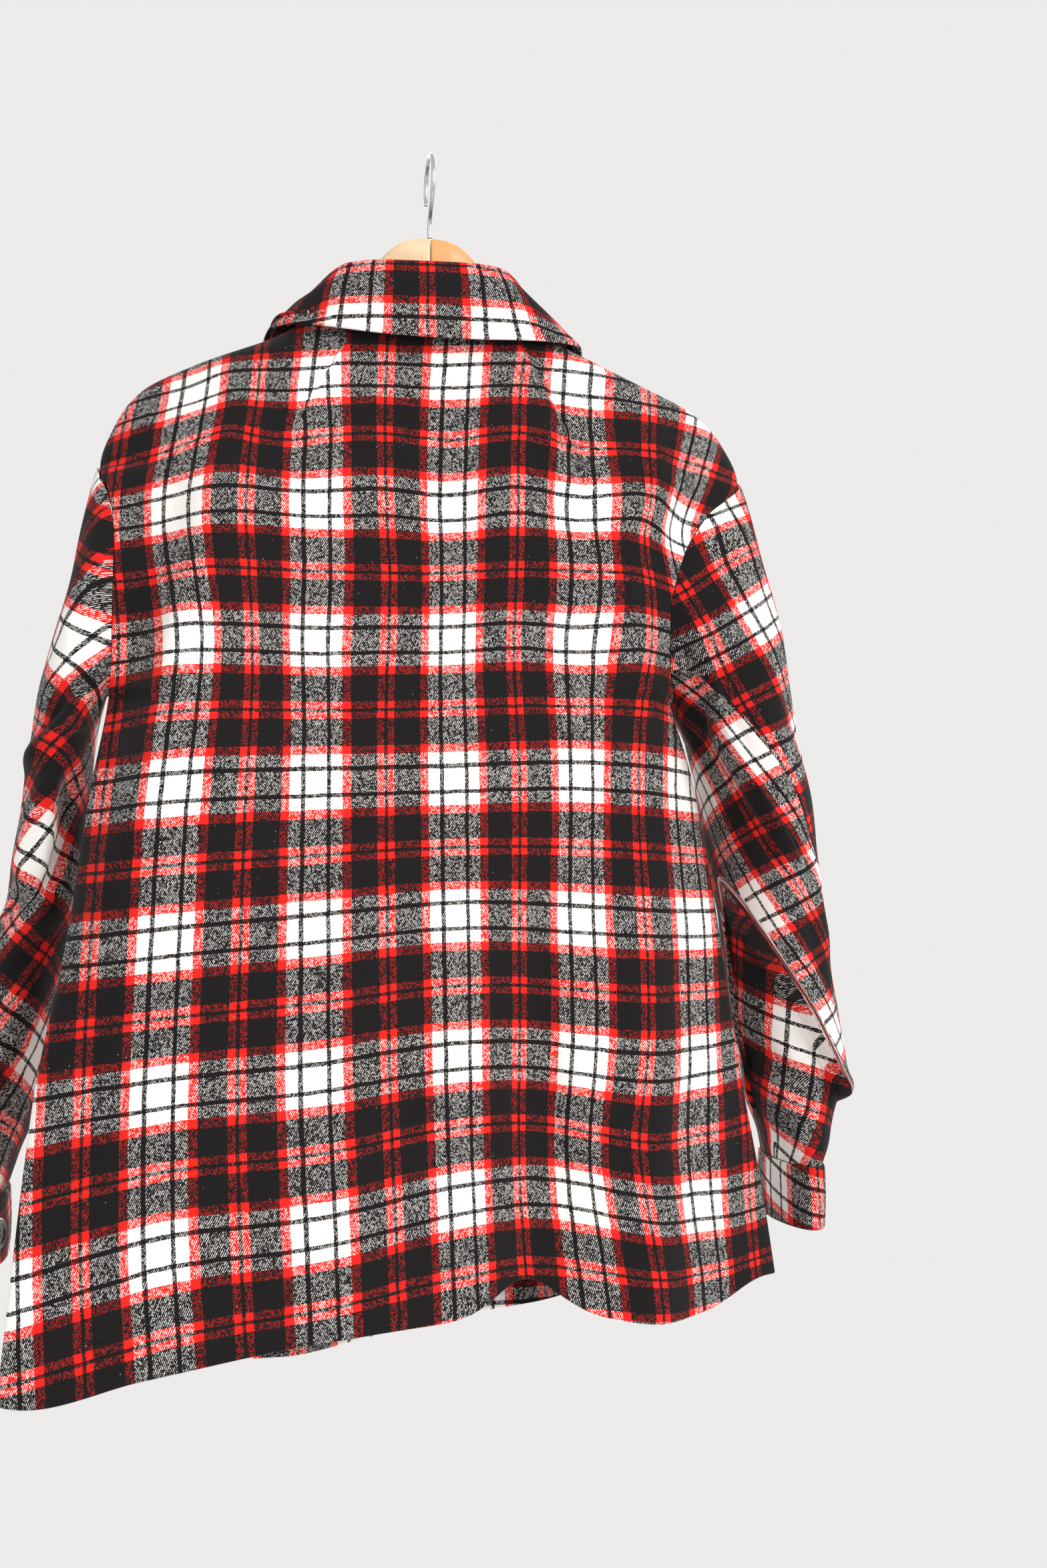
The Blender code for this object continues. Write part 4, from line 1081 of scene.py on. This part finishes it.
def collarGrid(around=301, fine=60):
    # three guide curves give a section of neck, stand, rolled fold and fall at each station
    share, place = np.linspace(0, 1, around // 2 + 1), np.linspace(0, 1, len(collarShape))
    table = np.c_[place, collarShape]
    right = np.stack([between(table, share, k) for k in range(1, 10)], 1)
    left = right[::-1].copy()
    left[:, [0, 3, 6]] *= -1
    both = np.r_[left[:-1], right]
    both[:, [0, 3, 6]] += centreBack
    neck, fold, edge = both[:, 0:3].copy(), both[:, 3:6].copy(), both[:, 6:9].copy()
    # it hangs a little askew: the fold rises and the edge falls towards the right
    fold[:, 2] += collar["foldLift"] + collar["foldTilt"] * fold[:, 0]
    edge[:, 2] -= collar["edgeTilt"] * edge[:, 0]
    edge[:, 0] += collar["edgeWider"] * ramp(np.abs(edge[:, 0]), 0.03, 0.11)
    out = (edge - neck) * np.array([1, 1, 0])
    out /= np.linalg.norm(out, axis=1)[:, None]
    up = np.array([0, 0, 1.0])
    # the fold rolls: its section is a small half circle between stand and fall
    rows = [neck + 0.0022 * up, neck * 0.72 + fold * 0.28 - 0.0012 * out,
            neck * 0.42 + fold * 0.58 - 0.002 * out, fold - 0.0040 * out - 0.0044 * up,
            fold - 0.0022 * out - 0.0006 * up, fold + 0.0016 * out - 0.0002 * up,
            fold + 0.0040 * out - 0.0036 * up, fold * 0.72 + edge * 0.28 + 0.0040 * out,
            fold * 0.45 + edge * 0.55 + 0.0030 * out, fold * 0.2 + edge * 0.8 + 0.0012 * out, edge]
    grid = smoothThrough(np.array(rows), fine)
    # lines close to the outer edge, for its rounding and its stitching
    last = grid[-1] - grid[-2]
    last /= np.linalg.norm(last, axis=1)[:, None]
    ends = [grid[-1] - last * inwards for inwards in
            (0.0100, 0.0085, 0.0076, 0.0070, 0.0065, 0.0060, 0.0054, 0.0045, 0.0032, 0.0022,
             0.0014, 0.0007, 0.00025, 0.0)]
    clear = np.linalg.norm(grid - grid[-1:], axis=2).mean(1) > 0.0115
    return np.concatenate([grid[clear], np.array(ends)], 0)


def collarPiece():
    grid = collarGrid()
    down = pathLength(grid, 0)
    toEdge = down[-1:] - down
    groove = collar["stitchDeep"] * np.exp(-((toEdge - collar["stitchIn"]) / 0.0007) ** 2)
    normal = surfaceNormal(grid, False, False)
    wave = ripple(grid[:, :, 0] + grid[:, :, 1] * 0.7, grid[:, :, 2], 0.0007, 5)
    grid = grid - normal * (groove + wave * ramp(down, 0.02, 0.05))[:, :, None]
    # the check runs straight across the fall and down it from the fold
    middle = grid.shape[1] // 2
    foldRow = np.argmax(grid[:, middle, 2])
    level = pathLength(grid, 1)[foldRow + collar["levelRow"]]
    u = level - level[middle] + 0 * down
    v = down - down[foldRow:foldRow + 1]
    return grid, np.stack([u + collar["across"], v + collar["down"]], 2)


grid, uv = collarPiece()
made = clothShell("collar_cloth", grid, uv, collar["wall"], wool, rounded=collar["rounded"])
standIn(made, "collar")
print("collar made")

# hanger

hangerArm = np.array([
    # x      top     base    y      half thickness
    [0.0004, -0.0615, -0.106, 0.000, 0.0070],
    [0.0120, -0.0628, -0.108, 0.000, 0.0072],
    [0.0230, -0.0665, -0.113, 0.001, 0.0075],
    [0.0360, -0.0775, -0.120, 0.003, 0.0078],
    [0.0480, -0.0960, -0.130, 0.008, 0.0080],
    [0.0620, -0.1215, -0.140, 0.010, 0.0085],
    [0.0780, -0.1310, -0.150, 0.012, 0.0090],
    [0.1180, -0.1452, -0.171, 0.013, 0.0120],
    [0.1600, -0.1629, -0.191, 0.018, 0.0148],
    [0.1900, -0.1778, -0.205, 0.021, 0.0150],
    [0.2040, -0.1910, -0.204, 0.022, 0.0100]])
hanger = {"corner": 0.55, "around": 48, "wire": 0.0019, "hookInner": 0.019}


def hangerHalf(side, name, material):
    # sections with straight sides and rounded corners, |cos|^k and |sin|^k, along the arm
    x = np.r_[0.0004, 0.0008, 0.0014, np.linspace(0.0024, 0.2015, 90), 0.2028, 0.2036, 0.2040]
    top, base, y, thick = (between(hangerArm, x, k) for k in range(1, 5))
    turn = np.linspace(0, 2 * pi, hanger["around"], endpoint=False)
    c, s = np.cos(turn), np.sin(turn)
    ease = 1 - np.exp(-(x - 0.0004) / 0.0006) * 0.10 - ramp(x, 0.199, 0.204) ** 2 * 0.25
    across = thick[:, None] * ease[:, None] * np.sign(c) * np.abs(c) ** hanger["corner"]
    upright = ((top - base) / 2)[:, None] * ease[:, None] * np.sign(s) * np.abs(s) ** hanger["corner"]
    rings = np.stack([side * x[:, None] + 0 * across, y[:, None] + across,
                      (top + base)[:, None] / 2 + upright], 2)
    made = roundedBody(name + "_wood", [rings if side > 0 else rings[:, ::-1]], material)
    standIn(made, name)


hangerHalf(-1, "left_arm", lightWood)
hangerHalf(1, "right_arm", darkWood)


def hookWire():
    # round wire along a smooth path in the upright plane through the hanger's middle
    middle, radius = -hanger["hookInner"], hanger["hookInner"] + hanger["wire"]
    path = [(0, -0.0612), (0, -0.054), (-0.002, -0.0475), (-0.0085, -0.0405)]
    bend = np.radians(np.arange(222, -31, -18))
    path = np.r_[np.array(path), np.stack([radius * np.cos(bend), middle + radius * np.sin(bend)], 1)]
    path = smoothThrough(path, 150)
    ahead = np.gradient(path, axis=0)
    ahead /= np.linalg.norm(ahead, axis=1)[:, None]
    # a rounded tip
    walked = np.r_[0, np.cumsum(np.linalg.norm(np.diff(path, axis=0), axis=1))]
    left = np.clip((walked[-1] - walked) / hanger["wire"], 0.03, 1)
    size = hanger["wire"] * np.sqrt(1 - (1 - left) ** 2)
    a = np.linspace(0, 2 * pi, 24, endpoint=False)
    rings = np.stack([size[:, None] * np.cos(a), path[:, :1] - ahead[:, 1:] * size[:, None] * np.sin(a),
                      path[:, 1:] + ahead[:, :1] * size[:, None] * np.sin(a)], 2)[:, ::-1]
    standIn(roundedBody("hook_wire", [rings], steelWire), "hook")


hookWire()
print("hanger made")

# buttons

button = {"radius": 0.011, "thick": 0.0034, "off": 0.0003, "holeAway": 0.001728,
          "holeSize": 0.0010, "holeDeep": 0.42, "threadWide": 0.00038, "threadHigh": 0.00030,
          "threadArch": 0.0005}
frontButtons = (-0.232, -0.345, -0.458, -0.571, -0.684)


def buttonPiece(name, node, place, facing):
    # a turned disc with four sunk thread holes; its profile's columns are station, radius and
    # height, as shares of the button's own
    facing = np.array(facing, float) / np.linalg.norm(facing)
    side = np.cross(facing, (0, 0, 1.0))
    side /= np.linalg.norm(side)
    up = np.cross(side, facing)
    profile = np.array([[0.0, 0.0, 0.02], [1, 0.55, 0.0], [2, 0.80, 0.03], [3, 0.95, 0.18],
                        [4, 1.0, 0.42], [5, 0.99, 0.66], [6, 0.93, 0.90], [7, 0.85, 1.0],
                        [8, 0.76, 0.95], [9, 0.68, 0.76], [10, 0.60, 0.66], [11, 0.45, 0.64],
                        [12, 0.34, 0.64], [13, 0.27, 0.64], [14, 0.22, 0.64], [15, 0.18, 0.64],
                        [16, 0.12, 0.64], [17, 0.0, 0.64]])
    stations = np.r_[np.linspace(0, 9, 28), np.linspace(9.2, 17, 30)]
    radius, height = between(profile, stations, 1), between(profile, stations, 2)
    a = np.linspace(0, 2 * pi, 56, endpoint=False)
    radius, height = radius[:, None] + 0 * a, height[:, None] + 0 * a
    px, pz = radius * np.cos(a) * button["radius"], radius * np.sin(a) * button["radius"]
    away = np.hypot(np.abs(px) - button["holeAway"], np.abs(pz) - button["holeAway"])
    sunk = 1 - ramp(away, button["holeSize"] * 0.75, button["holeSize"] * 1.1)
    height = height - button["holeDeep"] * (stations > 9)[:, None] * sunk
    rings = (place + facing * (button["off"] + height[:, :, None] * button["thick"])
             + px[:, :, None] * side + pz[:, :, None] * up)
    standIn(roundedBody(name, [rings[1:-1, ::-1]], blackResin), node)
    return place + facing * (button["off"] + 0.68 * button["thick"]), side, up, facing


def threadCross(name, middle, side, up, facing):
    # two crossed bundles of thread from hole to hole, each a low arch, 1 - t^4
    t, a = np.linspace(-1, 1, 12)[:, None], np.linspace(0, 2 * pi, 8, endpoint=False)[:, None]
    tubes = []
    for number, slope in enumerate((1, -1), 1):
        line = (middle + button["holeAway"] * t * (side + slope * up)
                + facing * (button["threadArch"] * (1 - t**4) - button["threadArch"]) * number)
        cross = (up - slope * side) / np.sqrt(2)
        section = button["threadWide"] * np.cos(a) * cross + button["threadHigh"] * np.sin(a) * facing
        tubes.append((line[:, None] + section)[:, ::-1])
    made = roundedBody(name, tubes, thread)
    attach(made, "root")


for number, height in enumerate(frontButtons, 1):
    turn = np.linspace(0, 2 * pi, 16, endpoint=False)
    x = np.r_[centreBack, centreBack + button["radius"] * np.cos(turn)]
    z = np.r_[height, height + button["radius"] * np.sin(turn)]
    # the middle of the fronts hangs 12 mm lower at the hem
    y = frontY(x, z + 0.012 * frontLow(z)) + cloth["seam"] / 2 + front["lapLift"]
    slopeX, slopeZ = (y[1] - y[9]) / (2 * button["radius"]), (y[5] - y[13]) / (2 * button["radius"])
    flat = y - slopeX * (x - centreBack) - slopeZ * (z - height)
    spot = buttonPiece(f"front_button_disc_{number}", f"front_button_{number}",
                       np.array([centreBack, flat.max() + 0.0002, height]), (-slopeX, 1, -slopeZ))
    threadCross(f"front_button_thread_{number}", *spot)
for side, name, angle in ((1, "right", pi * 1.97), (-1, "left", pi * 0.74)):
    x, y, across, deep = sleeveSection(side, sleeveEnd)
    across, deep = (size + cuff["fuller"] + cuff["swell"] for size in (across, deep))
    facing = np.array([side * np.cos(angle) / across, -np.sin(angle) / deep, 0])
    spot = buttonPiece(f"{name}_cuff_button_disc", f"{name}_cuff_button",
                       np.array([x + side * across * np.cos(angle), y - deep * np.sin(angle),
                                 (cuffTop + cuffBase) / 2]), facing)
    threadCross(f"{name}_cuff_button_thread", *spot)
print("buttons made")

# floor

bpy.ops.mesh.primitive_grid_add(x_subdivisions=8, y_subdivisions=8, size=2 * studio["floorHalf"],
                                location=(0, 0, studio["floorHeight"]))
floor = bpy.context.object
floor.name = "floor"
floorPaint, tree, shader = newMaterial("paleFloor", 0.8)
shader.inputs["Base Color"].default_value = (0.86, 0.85, 0.835, 1)
floor.data.materials.append(floorPaint)
